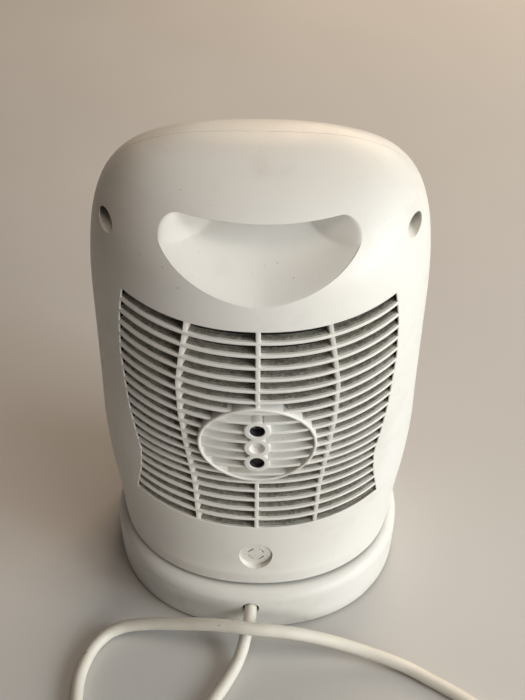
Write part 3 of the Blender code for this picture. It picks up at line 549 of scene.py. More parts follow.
def mesh_of(name, points, faces, smooth=True):
    mesh = bpy.data.meshes.new(name)
    mesh.from_pydata((np.asarray(points, float) * MM).tolist(), [], [tuple(int(i) for i in f) for f in faces])
    mesh.update()
    if smooth:
        mesh.shade_smooth()
    return mesh


def object_of(name, mesh):
    thing = bpy.data.objects.new(name, mesh)
    scene.collection.objects.link(thing)
    return thing


def finish_piece(thing, look, body, nodes=(), sharp=None):
    dress(thing, look)
    if sharp is not None:
        thing.data.set_sharp_from_angle(angle=math.radians(sharp))
    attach(thing, body)
    if nodes:
        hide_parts(*nodes)
    return thing


def grid_faces(rows, columns, start=0, flip=False, wrap=False):
    faces = []
    last = columns if wrap else columns - 1
    for j in range(rows - 1):
        for i in range(last):
            a = start + j * columns + i
            b = start + j * columns + (i + 1) % columns
            quad = (a, b, b + columns, a + columns)
            faces.append(quad[::-1] if flip else quad)
    return faces


def face_outward(mesh):
    """Turns every face of an open skin on the back of the body so that it looks backwards or up."""
    for face in mesh.polygons:
        if face.normal.y + 0.4 * face.normal.z < 0:
            face.flip()


def outward(mesh):
    """Turns the faces of a closed mesh outwards."""
    bm = bmesh.new()
    bm.from_mesh(mesh)
    bmesh.ops.recalc_face_normals(bm, faces=bm.faces)
    bm.to_mesh(mesh)
    bm.free()
    return mesh


def carve(thing, cutters, operation="DIFFERENCE"):
    """Applies each cutter to the object's mesh and removes the cutters."""
    for cutter in cutters:
        step = thing.modifiers.new("carve", "BOOLEAN")
        step.operation = operation
        step.solver = "MANIFOLD"
        step.object = cutter
    graph = bpy.context.evaluated_depsgraph_get()
    made = bpy.data.meshes.new_from_object(thing.evaluated_get(graph))
    thing.modifiers.clear()
    thing.data = made
    for cutter in cutters:
        bpy.data.objects.remove(cutter)
    return thing


def prism(name, outline, low, high):
    """A closed prism over an outline of (x, z) corners, run along Y."""
    count = len(outline)
    points = [(x, y, z) for y in (low, high) for x, z in outline]
    faces = [tuple(range(count)), tuple(range(2 * count - 1, count - 1, -1))]
    faces += [(i, (i + 1) % count, count + (i + 1) % count, count + i) for i in range(count)]
    return object_of(name, outward(mesh_of(name, points, faces, smooth=False)))


def disc_outline(x, z, radius, count=64):
    turns = [2 * math.pi * k / count for k in range(count)]
    return [(x + radius * math.cos(turn), z + radius * math.sin(turn)) for turn in turns]


def column_angles(fine_half, coarse, fine, width):
    """Angles across half the body, closer together where |x| is under fine_half."""
    edge = math.acos(min(1.0, fine_half / width))
    side = np.linspace(0, edge, coarse, endpoint=False)
    middle = np.linspace(edge, math.pi - edge, fine, endpoint=False)
    return np.concatenate([side, middle, math.pi - side[::-1], [math.pi]])


def half_grid(rear, levels, angles, inset=0.0):
    """Rows of points over one half of the body, at each dense profile row in levels."""
    power = REAR_ROUNDNESS if rear else FRONT_ROUNDNESS
    side = 1.0 if rear else -1.0
    seam = SEAM_Y if rear else SEAM_Y - SEAM_GAP
    z, width = levels[:, 0:1], levels[:, 1:2]
    depth = levels[:, 2:3] if rear else levels[:, 3:4]
    c, s = np.cos(angles)[None, :], np.sin(angles)[None, :]
    x = width * np.sign(c) * np.abs(c) ** (2 / power)
    y = seam + side * (depth - side * seam) * np.abs(s) ** (2 / power)
    points = np.stack([x, y, z + 0 * x], axis=-1)
    points[-1] = (0.0, seam, PROFILE[-1, 0])
    if not inset:
        return points
    along = np.gradient(points, axis=0)
    across = np.gradient(points, axis=1)
    normal = np.cross(across, along)
    normal /= np.maximum(np.linalg.norm(normal, axis=-1, keepdims=True), 1e-9)
    outside = np.sign((normal * (points - [0, 0, 140])).sum(-1, keepdims=True))
    normal *= outside
    normal[:, 0] = normal[:, 0] * [1, 0, 1]
    normal[:, -1] = normal[:, -1] * [1, 0, 1]
    moved = points - normal * inset
    moved[0, :, 2] = points[0, :, 2]
    moved[:, (0, -1), 1] = seam
    moved[-1] = (0.0, seam, PROFILE[-1, 0] - inset)
    return moved


def dense_levels(z_values, crown=10):
    """Profile rows at these levels, then rows to the crown's point."""
    below = np.stack([np.interp(z_values, PROFILE[:, 0], PROFILE[:, k]) for k in range(4)], axis=1)
    below[:, 0] = z_values
    top = PROFILE[PROFILE[:, 0] > z_values[-1] + 0.05]
    length = np.concatenate([[0], np.cumsum(np.linalg.norm(np.diff(top[:, :2], axis=0), axis=1))])
    at = np.linspace(0, length[-1], crown + 1)[1:]
    crown_rows = np.stack([np.interp(at, length, top[:, k]) for k in range(4)], axis=1)
    return np.concatenate([below, crown_rows])


def weld(mesh):
    """Merges corners that lie together and turns the faces outwards."""
    bm = bmesh.new()
    bm.from_mesh(mesh)
    bmesh.ops.remove_doubles(bm, verts=bm.verts, dist=1e-6)
    bmesh.ops.dissolve_degenerate(bm, edges=bm.edges, dist=1e-7)
    bmesh.ops.recalc_face_normals(bm, faces=bm.faces)
    bm.to_mesh(mesh)
    bm.free()
    return mesh


def shell_mesh(name, outer, inner):
    """A closed shell between two grids of the same size, both ending in a point at the crown."""
    rows, columns = outer.shape[:2]
    points = np.concatenate([outer.reshape(-1, 3), inner.reshape(-1, 3)])
    start = rows * columns
    faces = grid_faces(rows, columns) + grid_faces(rows, columns, start, flip=True)
    rim = [j * columns for j in range(rows)]
    rim += [j * columns + columns - 1 for j in range(rows - 1, -1, -1)]
    rim += [i for i in range(columns - 2, 0, -1)]
    for a, b in zip(rim, rim[1:] + rim[:1]):
        faces.append((a, b, b + start, a + start))
    return weld(mesh_of(name, points, faces))


def half_solid(name, grid):
    """The whole volume behind one half's grid, closed across the seam plane and the bottom."""
    rows, columns = grid.shape[:2]
    points = grid.reshape(-1, 3)
    faces = grid_faces(rows, columns)
    rim = [j * columns for j in range(rows)] + [j * columns + columns - 1 for j in range(rows - 2, -1, -1)]
    faces.append(tuple(rim))
    faces.append(tuple(range(columns - 1, -1, -1)))
    return object_of(name, weld(mesh_of(name, points, faces)))


def slat_rise(x):
    """How much higher a slat lies at the side than at the middle of the grille."""
    return SLAT_RISE * (np.abs(x) / SLAT_RISE_AT) ** 2.2


def grille_reach(z):
    """Half width of the grille at the end of the slat whose middle is at this level."""
    return between(GRILLE_EDGE, np.asarray(z) + SLAT_RISE)


def grille_outline(grow):
    """The grille opening's outline as (x, z) corners, grown outwards."""
    levels = np.linspace(GRILLE_BOTTOM - grow, GRILLE_TOP + grow, 48)
    reach = grille_reach(levels) + grow
    right = [(float(x), float(z + slat_rise(x))) for x, z in zip(reach, levels)]
    upper = [(x, float(levels[-1] + slat_rise(x))) for x in np.linspace(reach[-1], -reach[-1], 70)[1:-1]]
    left = [(-x, z) for x, z in reversed(right)]
    lower = [(x, float(levels[0] + slat_rise(x))) for x in np.linspace(-reach[0], reach[0], 70)[1:-1]]
    return right + upper + left + lower


def bead(name, outline, radius, out=0.0, sides=10):
    """A round bead along a closed line of (x, z) points, sunk in the rear surface by its own radius."""
    line = np.array(outline, float)
    centre = on_rear(line[:, 0], line[:, 1], np.full(len(line), out - radius))
    normal = rear_normal(line[:, 0], line[:, 1])
    tangent = np.roll(centre, -1, axis=0) - np.roll(centre, 1, axis=0)
    tangent /= np.maximum(np.linalg.norm(tangent, axis=1, keepdims=True), 1e-9)
    side = np.cross(tangent, normal)
    side /= np.maximum(np.linalg.norm(side, axis=1, keepdims=True), 1e-9)
    angles = np.linspace(0, 2 * math.pi, sides, endpoint=False)
    c, s = np.cos(angles)[None, :, None], np.sin(angles)[None, :, None]
    ring = centre[:, None] + radius * (c * normal[:, None] + s * side[:, None])
    points = ring.reshape(-1, 3)
    faces = grid_faces(len(line), sides, wrap=True)
    last = (len(line) - 1) * sides
    faces += [(last + i, last + (i + 1) % sides, (i + 1) % sides, i) for i in range(sides)]
    return object_of(name, outward(mesh_of(name, points, faces)))


def joined(name, things):
    """One mesh object from several."""
    bm = bmesh.new()
    for thing in things:
        copy = thing.data.copy()
        copy.transform(thing.matrix_world)
        bm.from_mesh(copy)
        bpy.data.meshes.remove(copy)
    mesh = bpy.data.meshes.new(name)
    bm.to_mesh(mesh)
    bm.free()
    for thing in things:
        bpy.data.objects.remove(thing)
    return object_of(name, mesh)


ALONG_Y = Matrix.Rotation(math.radians(-90), 3, "X")


def spin(name, profile, centre, steps):
    """A profile of (radius, height) points turned about a line along Y, with its heights towards +Y."""
    points, faces = [], []
    for radius, height in profile:
        for k in range(steps):
            angle = 2 * math.pi * k / steps
            points.append((radius * math.cos(angle), radius * math.sin(angle), height))
    for j in range(len(profile) - 1):
        for k in range(steps):
            a, b = j * steps + k, j * steps + (k + 1) % steps
            faces.append((a, b, b + steps, a + steps))
    mesh = weld(mesh_of(name, points, faces))
    mesh.transform(Matrix.Translation(Vector(centre) * MM) @ ALONG_Y.to_4x4())
    return object_of(name, mesh)


# ---------------------------------------------------------------- mains cord

def cord_points():
    """The cord's line: the route, then the turns of the coil."""
    route = [Vector(p) for p in CORD_ROUTE]
    inner, outer, low, high = COIL_INNER, COIL_OUTER, COIL_LOW, COIL_HIGH
    start = math.atan2(route[-1].y - COIL_CENTRE[1], route[-1].x - COIL_CENTRE[0]) % (2 * math.pi)
    knots = (
        (0.0, 40.0, low), (0.3, outer, low), (0.9, outer, low), (1.12, inner, low), (1.9, inner, low),
        (2.12, inner, high), (2.9, inner, high), (3.12, outer, high), (4.02, outer, high), (4.16, 41.0, 14.5),
    )
    step = 1 / 18
    turn = step
    while turn < 4.13:
        radius = float(np.interp(turn, [k[0] for k in knots], [k[1] for k in knots]))
        height = float(np.interp(turn, [k[0] for k in knots], [k[2] for k in knots]))
        angle = start - turn * 2 * math.pi
        x = COIL_CENTRE[0] + radius * math.cos(angle)
        y = COIL_CENTRE[1] + radius * math.sin(angle)
        route.append(Vector((x, y, height)))
        turn += step
    return route


def make_cord():
    plug_low, plug_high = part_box("plug_body")
    entry = Vector((plug_low.x, (plug_low.y + plug_high.y) / 2, (plug_low.z + plug_high.z) / 2)) / MM
    points = cord_points()
    # From the coil's last turn the cord rises into the plug's neck, which lies along X.
    last = points[-1]
    points.append(last.lerp(entry, 0.45) + Vector((-3.0, 4.0, 1.0)))
    points.append(entry + Vector((-9, 0, -0.6)))
    points.append(entry + Vector((2, 0, 0)))
    curve = bpy.data.curves.new("mains_lead", "CURVE")
    curve.dimensions = "3D"
    curve.bevel_depth = CORD_DIAMETER / 2 * MM
    curve.bevel_resolution = 6
    curve.use_fill_caps = True
    curve.resolution_u = 6
    line = curve.splines.new("BEZIER")
    line.bezier_points.add(len(points) - 1)
    for knot, point in zip(line.bezier_points, points):
        knot.co = point * MM
        knot.handle_left_type = "AUTO"
        knot.handle_right_type = "AUTO"
    lead = bpy.data.objects.new("mains_lead", curve)
    scene.collection.objects.link(lead)
    curve.materials.append(CORD)
    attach(lead, "foot")
    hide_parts("mains_cord", "cord_coil")


make_cord()


# ---------------------------------------------------------------- rear shell

def rear_levels():
    """Profile rows, closer together at the bottom edge, round the scoop and over the crown."""
    z_values = np.concatenate([
        np.arange(34, 46, 0.8), np.arange(46, 222, 2.6), np.arange(222, 259, 0.62), np.arange(259, 266, 0.9),
    ])
    return dense_levels(z_values, 12)


def scoop_columns(count):
    """Places across the scoop, closer together towards its ends."""
    return SCOOP_TIP[0] * np.sin(0.5 * math.pi * np.linspace(-1, 1, count))


def scoop_outline():
    x = scoop_columns(161)
    lower = [(a, float(scoop_lower(a))) for a in x]
    upper = [(a, float(scoop_upper(a))) for a in x[::-1]]
    return lower + upper[1:-1]


def make_scoop():
    """The hollow behind the lip, as a skin that starts flush with the rear surface."""
    x = scoop_columns(201)
    fine = np.linspace(0, 1, 110)
    v = 0.55 * (0.5 - 0.5 * np.cos(math.pi * fine)) + 0.45 * fine
    lower, upper = scoop_lower(x)[None, :], scoop_upper(x)[None, :]
    z = lower + (upper - lower) * v[:, None]
    across = np.broadcast_to(x[None, :], z.shape)
    y = rear_y(across, z) - scoop_depth(across, z)
    y[0], y[-1] = rear_y(across[0], z[0]), rear_y(across[-1], z[-1])
    points = np.stack([across, y, z], axis=-1)
    mesh = mesh_of("finger_scoop", points.reshape(-1, 3), grid_faces(*z.shape))
    skin = object_of("finger_scoop", weld(mesh))
    face_outward(skin.data)
    finish_piece(skin, SHELL, "heater_body")


def arc(radius, start, end, count=9):
    """Points of an arc about the pocket's centre."""
    turns = np.linspace(start, end, count)
    return [(radius * math.cos(turn), POCKET_Z + radius * math.sin(turn)) for turn in turns]


def make_rear_shell():
    levels = rear_levels()
    angles = column_angles(47, 22, 128, 87)
    outer = half_grid(True, levels, angles)
    inner = half_grid(True, levels, angles, WALL)
    shell = object_of("rear_casing", shell_mesh("rear_casing", outer, inner))

    posts = []
    for side in (-1, 1):
        post = disc_outline(side * WELL_X, WELL_Z, WELL_RADIUS + WELL_WALL)
        posts.append(prism("well_post", post, 3.0, 60))
    post = disc_outline(0, POCKET_Z, POCKET_RADIUS + POCKET_WALL)
    posts.append(prism("pocket_post", post, POCKET_FLOOR_Y - 1.8, 75))
    for post in posts:
        carve(post, [half_solid("inside", half_grid(True, levels[::2], angles[::2], 0.9))], "INTERSECT")
    carve(shell, posts, "UNION")

    cutters = [
        prism("grille_cut", grille_outline(EDGE_BEAD), 40, 95),
        prism("scoop_cut", scoop_outline(), 30, 90),
    ]
    for side in (-1, 1):
        well = disc_outline(side * WELL_X, WELL_Z, WELL_RADIUS)
        cutters.append(prism("well_cut", well, WELL_FLOOR_Y, 70))
    cutters.append(prism("pocket_cut", disc_outline(0, POCKET_Z, POCKET_RADIUS), POCKET_FLOOR_Y, 90))
    for k in range(4):
        middle = math.radians(45 + 90 * k)
        outline = arc(SLOT_OUTER, middle - SLOT_SWEEP, middle + SLOT_SWEEP)
        outline += arc(SLOT_INNER, middle + SLOT_SWEEP, middle - SLOT_SWEEP)
        cutters.append(prism("slot_cut", outline, POCKET_FLOOR_Y - SLOT_DEPTH, 70))
    carve(shell, cutters)
    finish_piece(shell, SHELL, "heater_body", ["rear_shell"], sharp=38)

    edge = bead("grille_edge", grille_outline(EDGE_BEAD), EDGE_BEAD)
    finish_piece(edge, SHELL, "heater_body")
    for name, side in (("well_edge_left", 1), ("well_edge_right", -1)):
        rim = bead(name, disc_outline(side * WELL_X, WELL_Z, WELL_RADIUS + 0.25), 0.3, out=0.03)
        finish_piece(rim, SHELL, "heater_body")
    rim = bead("pocket_edge", disc_outline(0, POCKET_Z, POCKET_RADIUS + 0.35, 96), 0.45, out=0.05)
    finish_piece(rim, SHELL, "heater_body")
    # A dark disc under the arc slots paints the shade at their bottoms.
    slot_shade_profile = ((0, 0), (5.4, 0), (5.4, -0.3), (0, -0.3))
    slot_shade = spin("pocket_slots_shade", slot_shade_profile, (0, POCKET_FLOOR_Y - SLOT_DEPTH + 0.05, POCKET_Z), 48)
    finish_piece(slot_shade, DARK, "heater_body")


def slat_levels():
    """Levels of the slats' middles, from the top down."""
    pitch = (GRILLE_TOP - GRILLE_BOTTOM + SLAT_HEIGHT) / (SLAT_COUNT + 1)
    return [GRILLE_TOP - pitch * (k + 1) + SLAT_HEIGHT / 2 for k in range(SLAT_COUNT)]


def bar(line, normals, up, section):
    """Points and faces of a closed bar with a (out, side) section along a line."""
    line, normals, up = (np.asarray(v, float) for v in (line, normals, up))
    section = np.asarray(section, float)
    points = line[:, None] + section[None, :, 0:1] * normals[:, None] + section[None, :, 1:2] * up[:, None]
    count = len(section)
    faces = grid_faces(len(line), count, wrap=True)
    faces.append(tuple(range(count)))
    last = (len(line) - 1) * count
    faces.append(tuple(last + i for i in reversed(range(count))))
    return points.reshape(-1, 3), faces


def stacked(name, parts):
    """One mesh from several lists of points and faces."""
    points, faces, start = [], [], 0
    for more, lists in parts:
        points.append(more)
        faces += [tuple(i + start for i in face) for face in lists]
        start += len(more)
    return mesh_of(name, np.concatenate(points), faces)


def slat_section(height, depth, corner=0.42):
    """A deep bar with rounded front edges: (out, side) points from its lower back to its upper back."""
    half = height / 2
    turns = np.linspace(0, math.pi / 2, 5)
    lower = [(corner * math.sin(a) - corner, -half + corner - corner * math.cos(a)) for a in turns]
    upper = [(corner * math.cos(a) - corner, half - corner + corner * math.sin(a)) for a in turns]
    return [(-depth, -half * 0.9), *lower, *upper, (-depth, half)]


def slat_spans(z):
    """The parts of a slat as (start, end) in x: whole, or in two beside the bosses."""
    reach = float(grille_reach(z)) + 0.9
    gap = 0.0
    for k in (-1, 0, 1):
        off = abs(z - FAN_AXIS_Z - k * BOSS_PITCH)
        if off < BOSS_RADIUS:
            gap = max(gap, math.sqrt(BOSS_RADIUS**2 - off**2) - 0.5)
    return [(-reach, -gap), (gap, reach)] if gap > 0 else [(-reach, reach)]


def level_normals(x, z):
    """The rear surface's normals, laid level."""
    flat = rear_normal(x, z)
    flat[:, 2] = 0.0
    return flat / np.linalg.norm(flat, axis=1, keepdims=True)


def rib_section(crest):
    """A rib's outline, its crest that far from the body's skin."""
    edge = crest - 0.38
    near = crest - 0.1
    return [
        (edge, -1.1), (near, -1.0), (crest, -0.75), (crest, 0.75), (near, 1.0), (edge, 1.1),
        (-SLAT_DEPTH, 1.0), (-SLAT_DEPTH, -1.0)
    ]


def rib_bar(x, z, crest):
    """A rib along a line on the rear surface."""
    across = np.tile([1.0, 0, 0], (len(z), 1))
    return bar(on_rear(x, z), rear_normal(x, z), across, rib_section(crest))


def make_slats():
    parts = []
    section = slat_section(SLAT_HEIGHT, SLAT_DEPTH)
    for middle in slat_levels():
        for start, end in slat_spans(middle):
            x = np.linspace(start, end, 80)
            z = middle + slat_rise(x)
            up = np.tile([0, 0, 1.0], (len(x), 1))
            parts.append(bar(on_rear(x, z, -SLAT_INSET), level_normals(x, z), up, section))
    bottom, top = GRILLE_BOTTOM - 0.9, GRILLE_TOP + 0.9
    middle_spans = {-1: (bottom, FAN_AXIS_Z - RING_RADIUS), 1: (FAN_AXIS_Z + RING_RADIUS, top)}
    for side in (-1, 1):
        level = np.linspace(bottom, top, 60)
        x = side * between(GRILLE_RIB, level)
        parts.append(rib_bar(x, level + slat_rise(x), SIDE_RIB_CREST))
        z = np.linspace(*middle_spans[side], 24)
        parts.append(rib_bar(0 * z, z, RIB_CREST))
    mesh = outward(stacked("grille_slats", parts))
    finish_piece(object_of("grille_slats", mesh), SHELL, "heater_body", sharp=50)


def make_ring():
    """The ring round the motor bosses, its front edge following the rear surface."""
    count = 120
    angles = np.linspace(0, 2 * math.pi, count, endpoint=False)
    half, proud = RING_HALF_WALL, RING_PROUD
    section = [(-RING_DEPTH, -half * 0.9), (proud, -half)]
    for a in np.linspace(-1.2, 1.2, 7):
        section.append((proud + half * 0.75 * math.cos(a), half * math.sin(a)))
    section += [(proud, half), (-RING_DEPTH, half * 0.9)]
    front = rear_y(RING_RADIUS * np.cos(angles), FAN_AXIS_Z + RING_RADIUS * np.sin(angles))
    rows = []
    for out, across in section:
        radius = RING_RADIUS + across
        z = FAN_AXIS_Z + radius * np.sin(angles)
        rows.append(np.stack([radius * np.cos(angles), front + out, z], axis=-1))
    faces = grid_faces(len(section), count, wrap=True)
    last = (len(section) - 1) * count
    faces += [(last + i, last + (i + 1) % count, (i + 1) % count, i) for i in range(count)]
    mesh = outward(mesh_of("grille_ring", np.concatenate(rows), faces))
    finish_piece(object_of("grille_ring", mesh), SHELL, "heater_body", sharp=50)


def boss_profile(face, screwed):
    """A boss from its back to its face, then into its bore, or into a shallow dimple without a screw."""
    turns = np.linspace(0.3, math.pi / 2, 4)
    shoulder = face - BOSS_CORNER
    profile = [(BOSS_RADIUS, BOSS_BACK_Y), (BOSS_RADIUS, shoulder)]
    for a in turns:
        radius = BOSS_RADIUS - BOSS_CORNER + BOSS_CORNER * math.cos(a)
        profile.append((radius, shoulder + BOSS_CORNER * math.sin(a)))
    profile += [(BOSS_BORE + 0.2, face), (BOSS_BORE, face - 0.25)]
    if screwed:
        return profile + [(BOSS_BORE - 0.05, BOSS_BACK_Y), (2.2, BOSS_BACK_Y)]
    floor = face - 2.6
    return profile + [(BOSS_BORE - 0.35, face - 1.2), (BOSS_BORE - 1.3, floor + 0.15), (0, floor)]


def make_bosses():
    bosses, throat_shades = [], []
    for k in (-1, 0, 1):
        z = FAN_AXIS_Z + k * BOSS_PITCH
        skin = float(rear_y(0.0, z))
        profile = boss_profile(skin + BOSS_PROUD, screwed=k != 0)
        bosses.append(spin(f"boss_{k}", profile, (0, 0, z), 56))
    column = joined("grille_bosses", bosses)
    finish_piece(column, SHELL, "heater_body", sharp=35)
    # Dark cones plug the screwed bosses' bores as painted shade of the deep holes.
    for k in (-1, 1):
        z = FAN_AXIS_Z + k * BOSS_PITCH
        rim = (BOSS_BORE - 0.02, float(rear_y(0.0, z)) - 0.05)
        profile = (rim, (BOSS_BORE - 0.1, THROAT_RIM_Y), (0, THROAT_CENTRE_Y))
        throat_shades.append(spin(f"throat_{k}", profile, (0, 0, z), 40))
    throat_shade = joined("boss_throat_shades", throat_shades)
    finish_piece(throat_shade, DARK, "heater_body")


def make_slat_dust():
    """Felted dust lying on the slats behind their clean front edge."""
    rng = np.random.default_rng(11)
    parts = []
    across = 9
    for middle in [*slat_levels(), GRILLE_BOTTOM - SLAT_HEIGHT / 2]:
        reach = float(grille_reach(middle)) + 0.5
        off = abs(middle - FAN_AXIS_Z)
        gap = math.sqrt(max(0.0, (RING_RADIUS + 0.8) ** 2 - off**2))
        for start, end in ([(-reach, -gap), (gap, reach)] if gap else [(-reach, reach)]):
            count = max(40, int((end - start) / 0.42))
            x = np.linspace(start, end, count)
            z = middle + slat_rise(x)
            base = on_rear(x, z, -SLAT_INSET)
            inward = -level_normals(x, z)
            edge = CLEAN_DEPTH + 0.22 * smooth_noise(rng, count, 9) + 0.06 * rng.normal(0, 1, count)
            rows = []
            for j in range(across):
                share = j / (across - 1)
                depth = edge + (SLAT_DEPTH + 0.25 - edge) * share
                height = 0.02 + 0.34 * min(1.0, share * 3.2) + (0.07 * rng.normal(0, 1, count) if j else 0.0)
                row = base + inward * depth[:, None]
                row[:, 2] += SLAT_HEIGHT / 2 + height
                rows.append(row)
            lip = rows[-1].copy()
            lip[:, 2] -= 1.5
            rows.append(lip)
            parts.append((np.concatenate(rows), grid_faces(across + 1, count)))
    dust = object_of("slat_dust", stacked("slat_dust", parts))
    face_outward(dust.data)
    finish_piece(dust, FILTER, "heater_body")


def smooth_noise(rng, count, knots):
    """A smooth random line of so many values between about -1 and 1."""
    at = np.linspace(0, max(2, count / knots), count)
    values = rng.uniform(-1, 1, int(at[-1]) + 2)
    low = np.floor(at).astype(int)
    share = at - low
    share = share * share * (3 - 2 * share)
    return values[low] * (1 - share) + values[np.minimum(low + 1, len(values) - 1)] * share


def make_filter():
    """The net behind the slats, near-black as painted shade of the void behind them, with a hole for the
    ring.
    """
    rows, columns = 120, 100
    rng = np.random.default_rng(7)
    z = np.linspace(GRILLE_BOTTOM - 6.0, GRILLE_TOP + 6.5, rows)[:, None]
    half = between(GRILLE_EDGE, z[:, 0])[:, None] + 1.0
    x = half * np.linspace(-1, 1, columns)[None, :]
    z = z + 0 * x
    fuzz = rng.normal(0, 0.12, x.shape)
    y = rear_y(x, z) - SLAT_DEPTH - NET_GAP - 0.05 * np.abs(x) + fuzz
    keep = np.hypot(x, z - FAN_AXIS_Z) > RING_RADIUS + 1.0
    points = np.stack([x, y, z], axis=-1).reshape(-1, 3)
    faces = [f for f in grid_faces(rows, columns) if all(keep.reshape(-1)[i] for i in f)]
    net = object_of("dust_net", mesh_of("dust_net", points, faces))
    bm = bmesh.new()
    bm.from_mesh(net.data)
    loose = [v for v in bm.verts if not v.link_faces]
    bmesh.ops.delete(bm, geom=loose, context="VERTS")
    bm.to_mesh(net.data)
    bm.free()
    face_outward(net.data)
    finish_piece(net, PAINTED_SHADE_NET, "heater_body", ["dust_filter"])


def make_motor_cap():
    """The pale disc behind the ring, following the back of the slats."""
    rings, steps = 18, 96
    points = []
    for j in range(rings + 1):
        radius = (RING_RADIUS - 0.3) * j / rings
        for k in range(steps):
            x = radius * math.cos(2 * math.pi * k / steps)
            z = FAN_AXIS_Z + radius * math.sin(2 * math.pi * k / steps)
            points.append((x, float(rear_y(x, z)) - SLAT_DEPTH + 0.1, z))
    disc = weld(mesh_of("motor_cap_lid", points, grid_faces(rings + 1, steps, wrap=True)))
    cap = object_of("motor_cap_lid", disc)
    face_outward(cap.data)
    finish_piece(cap, CAP, "heater_body", ["motor_cap"], sharp=30)


# ---------------------------------------------------------------- front casing and controls

def rounded_outline(half, bottom, top, corner, steps=8):
    """A rectangle in (x, z) with round corners."""
    side, low, high = half - corner, bottom + corner, top - corner
    outline = []
    for cx, cz, start in ((side, low, -90), (side, high, 0), (-side, high, 90), (-side, low, 180)):
        for step in range(steps + 1):
            angle = math.radians(start + 90 * step / steps)
            outline.append((cx + corner * math.cos(angle), cz + corner * math.sin(angle)))
    return outline


def panel_matrix(out):
    """A place so far out from the control panel's middle, square to the panel."""
    turn = Matrix.Rotation(math.radians(PANEL_TILT), 4, "X")
    return Matrix.Translation(Vector(PANEL_CENTRE) * MM) @ turn @ Matrix.Translation((0, 0, out * MM))


def rounded_box(name, size, bevel, segments=4):
    bm = bmesh.new()
    bmesh.ops.create_cube(bm, size=1.0)
    bmesh.ops.scale(bm, vec=Vector(size) * MM, verts=bm.verts)
    edges = list(bm.edges)
    bmesh.ops.bevel(bm, geom=edges, offset=bevel * MM, segments=segments, affect="EDGES", profile=0.5)
    mesh = bpy.data.meshes.new(name)
    bm.to_mesh(mesh)
    bm.free()
    mesh.shade_smooth()
    return object_of(name, mesh)


def make_front():
    z_values = np.concatenate([np.arange(34, 46, 0.9), np.arange(46, 259, 2.8), np.arange(259, 266, 1.2)])
    levels = dense_levels(z_values, 12)
    angles = np.linspace(0, math.pi, 108)
    outer = half_grid(False, levels, angles)
    inner = half_grid(False, levels, angles, WALL)
    shell = object_of("front_casing", shell_mesh("front_casing", outer, inner))
    opening = rounded_box("panel_cut", (PANEL_SIZE[0] + 0.6, PANEL_SIZE[1] + 0.6, 60), 2.0)
    opening.data.transform(panel_matrix(8))
    outlet = rounded_outline(OUTLET_HALF_WIDTH, OUTLET_BOTTOM, OUTLET_TOP, 12)
    carve(shell, [prism("outlet_cut", outlet, -95, -20), opening])
    finish_piece(shell, SHELL, "heater_body", ["front_shell"], sharp=38)


# ---------------------------------------------------------------- base

def oval_points(half_width, half_depth, z, count):
    angles = np.linspace(0, 2 * math.pi, count, endpoint=False)
    c, s = np.cos(angles), np.sin(angles)
    power = 2 / BASE_ROUNDNESS
    x = half_width * np.sign(c) * np.abs(c) ** power
    y = half_depth * np.sign(s) * np.abs(s) ** power
    return np.stack([x, y, np.full(count, z)], axis=-1)


def base_profile():
    """(inset, level) from the foot up over the shoulder and the deck, then back down inside."""
    outer = [(0.5, 1.6), (0.12, 2.2), (0.0, 3.2), (0.0, 12), (0.05, 20), (0.25, SHOULDER_Z)]
    for a in np.linspace(0.15, math.pi / 2, 10):
        outer.append((0.25 + SHOULDER_RUN * (1 - math.cos(a)), SHOULDER_Z + SHOULDER_RISE * math.sin(a)))
    outer += [(8.0, 31.35), (9.6, 30.95), (12.0, DECK_Z), (40.0, DECK_Z), (64.6, DECK_Z)]
    inner = [(66.0, DECK_UNDERSIDE), (12.0, DECK_UNDERSIDE), (8.5, 28.4), (4.2, 25.5), (2.4, 20), (2.2, 1.6)]
    return outer + inner


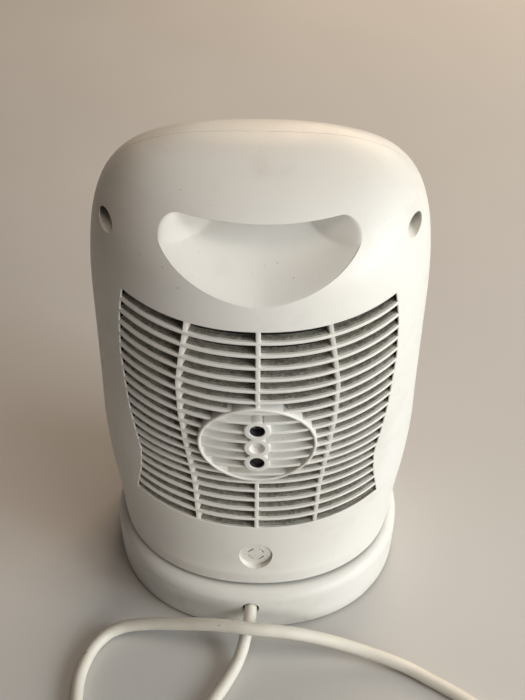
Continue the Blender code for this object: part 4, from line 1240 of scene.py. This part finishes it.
def make_base():
    count = 220
    angles = np.linspace(0, 2 * math.pi, count, endpoint=False)
    hole_x, hole_y = PIVOT_HOLE_RADIUS * np.cos(angles), PIVOT_HOLE_RADIUS * np.sin(angles)
    profile = base_profile()
    rings = []
    for inset, z in profile:
        if inset > PIVOT_HOLE_INSET:
            rings.append(np.stack([hole_x, hole_y, np.full(count, z)], axis=-1))
        else:
            rings.append(oval_points(BASE_HALF_WIDTH - inset, BASE_HALF_DEPTH - inset, z, count))
    points = np.concatenate(rings)
    rows = len(profile)
    faces = grid_faces(rows, count, wrap=True)
    last = (rows - 1) * count
    faces += [(last + i, last + (i + 1) % count, (i + 1) % count, i) for i in range(count)]
    cover = object_of("base_housing", outward(mesh_of("base_housing", points, faces)))
    carve(cover, [prism("cord_cut", disc_outline(*CORD_HOLE, CORD_HOLE_RADIUS), 60, 90)])
    finish_piece(cover, BASE, "foot", ["base_cover"], sharp=38)


make_rear_shell()
make_scoop()
make_slats()
make_ring()
make_bosses()
make_slat_dust()
make_filter()
make_motor_cap()
make_front()
make_base()


# ---------------------------------------------------------------- floor and light

def make_floor():
    bm = bmesh.new()
    bmesh.ops.create_grid(bm, x_segments=2, y_segments=2, size=6.0)
    mesh = bpy.data.meshes.new("floor")
    bm.to_mesh(mesh)
    bm.free()
    floor = object_of("floor", mesh)
    look = Look("floor_paint", 0.75)
    patches = look.scalar(look.noise(3.0, 3.0), 0.4, 0.6)
    look.colour(look.mix(patches, (0.55, 0.54, 0.525), (0.57, 0.56, 0.545)))
    dress(floor, look.material)


def area_light(name, place, aim, size, power, colour):
    data = bpy.data.lights.new(name, "AREA")
    data.shape = "RECTANGLE"
    data.size, data.size_y = size
    data.energy = power
    data.color = colour
    lamp = bpy.data.objects.new(name, data)
    scene.collection.objects.link(lamp)
    lamp.location = place
    lamp.rotation_mode = "QUATERNION"
    lamp.rotation_quaternion = (Vector(aim) - Vector(place)).to_track_quat("-Z", "Y")


def make_light():
    area_light("key", (-1.7, 0.55, 0.95), (0, 0, 0.15), (1.0, 0.9), 19.5, (0.88, 0.99, 1.0))
    area_light("low_key", (-1.4, 1.2, 0.5), (0, 0, 0.15), (1.0, 0.9), 20.5, (1.0, 0.96, 0.93))
    area_light("top", (-0.3, 0.3, 1.9), (0, 0, 0.1), (1.2, 1.2), 9.0, (1.0, 0.84, 0.7))
    area_light("front_fill", (-0.6, -1.8, 1.2), (0, 0, 0.12), (1.4, 1.0), 25.0, (1.0, 0.78, 0.58))
    world = bpy.data.worlds.new("room")
    world.use_nodes = True
    world.node_tree.nodes["Background"].inputs["Color"].default_value = (1.0, 0.93, 0.86, 1.0)
    world.node_tree.nodes["Background"].inputs["Strength"].default_value = 0.03
    scene.world = world


make_floor()
make_light()
scene.view_settings.view_transform = "Standard"
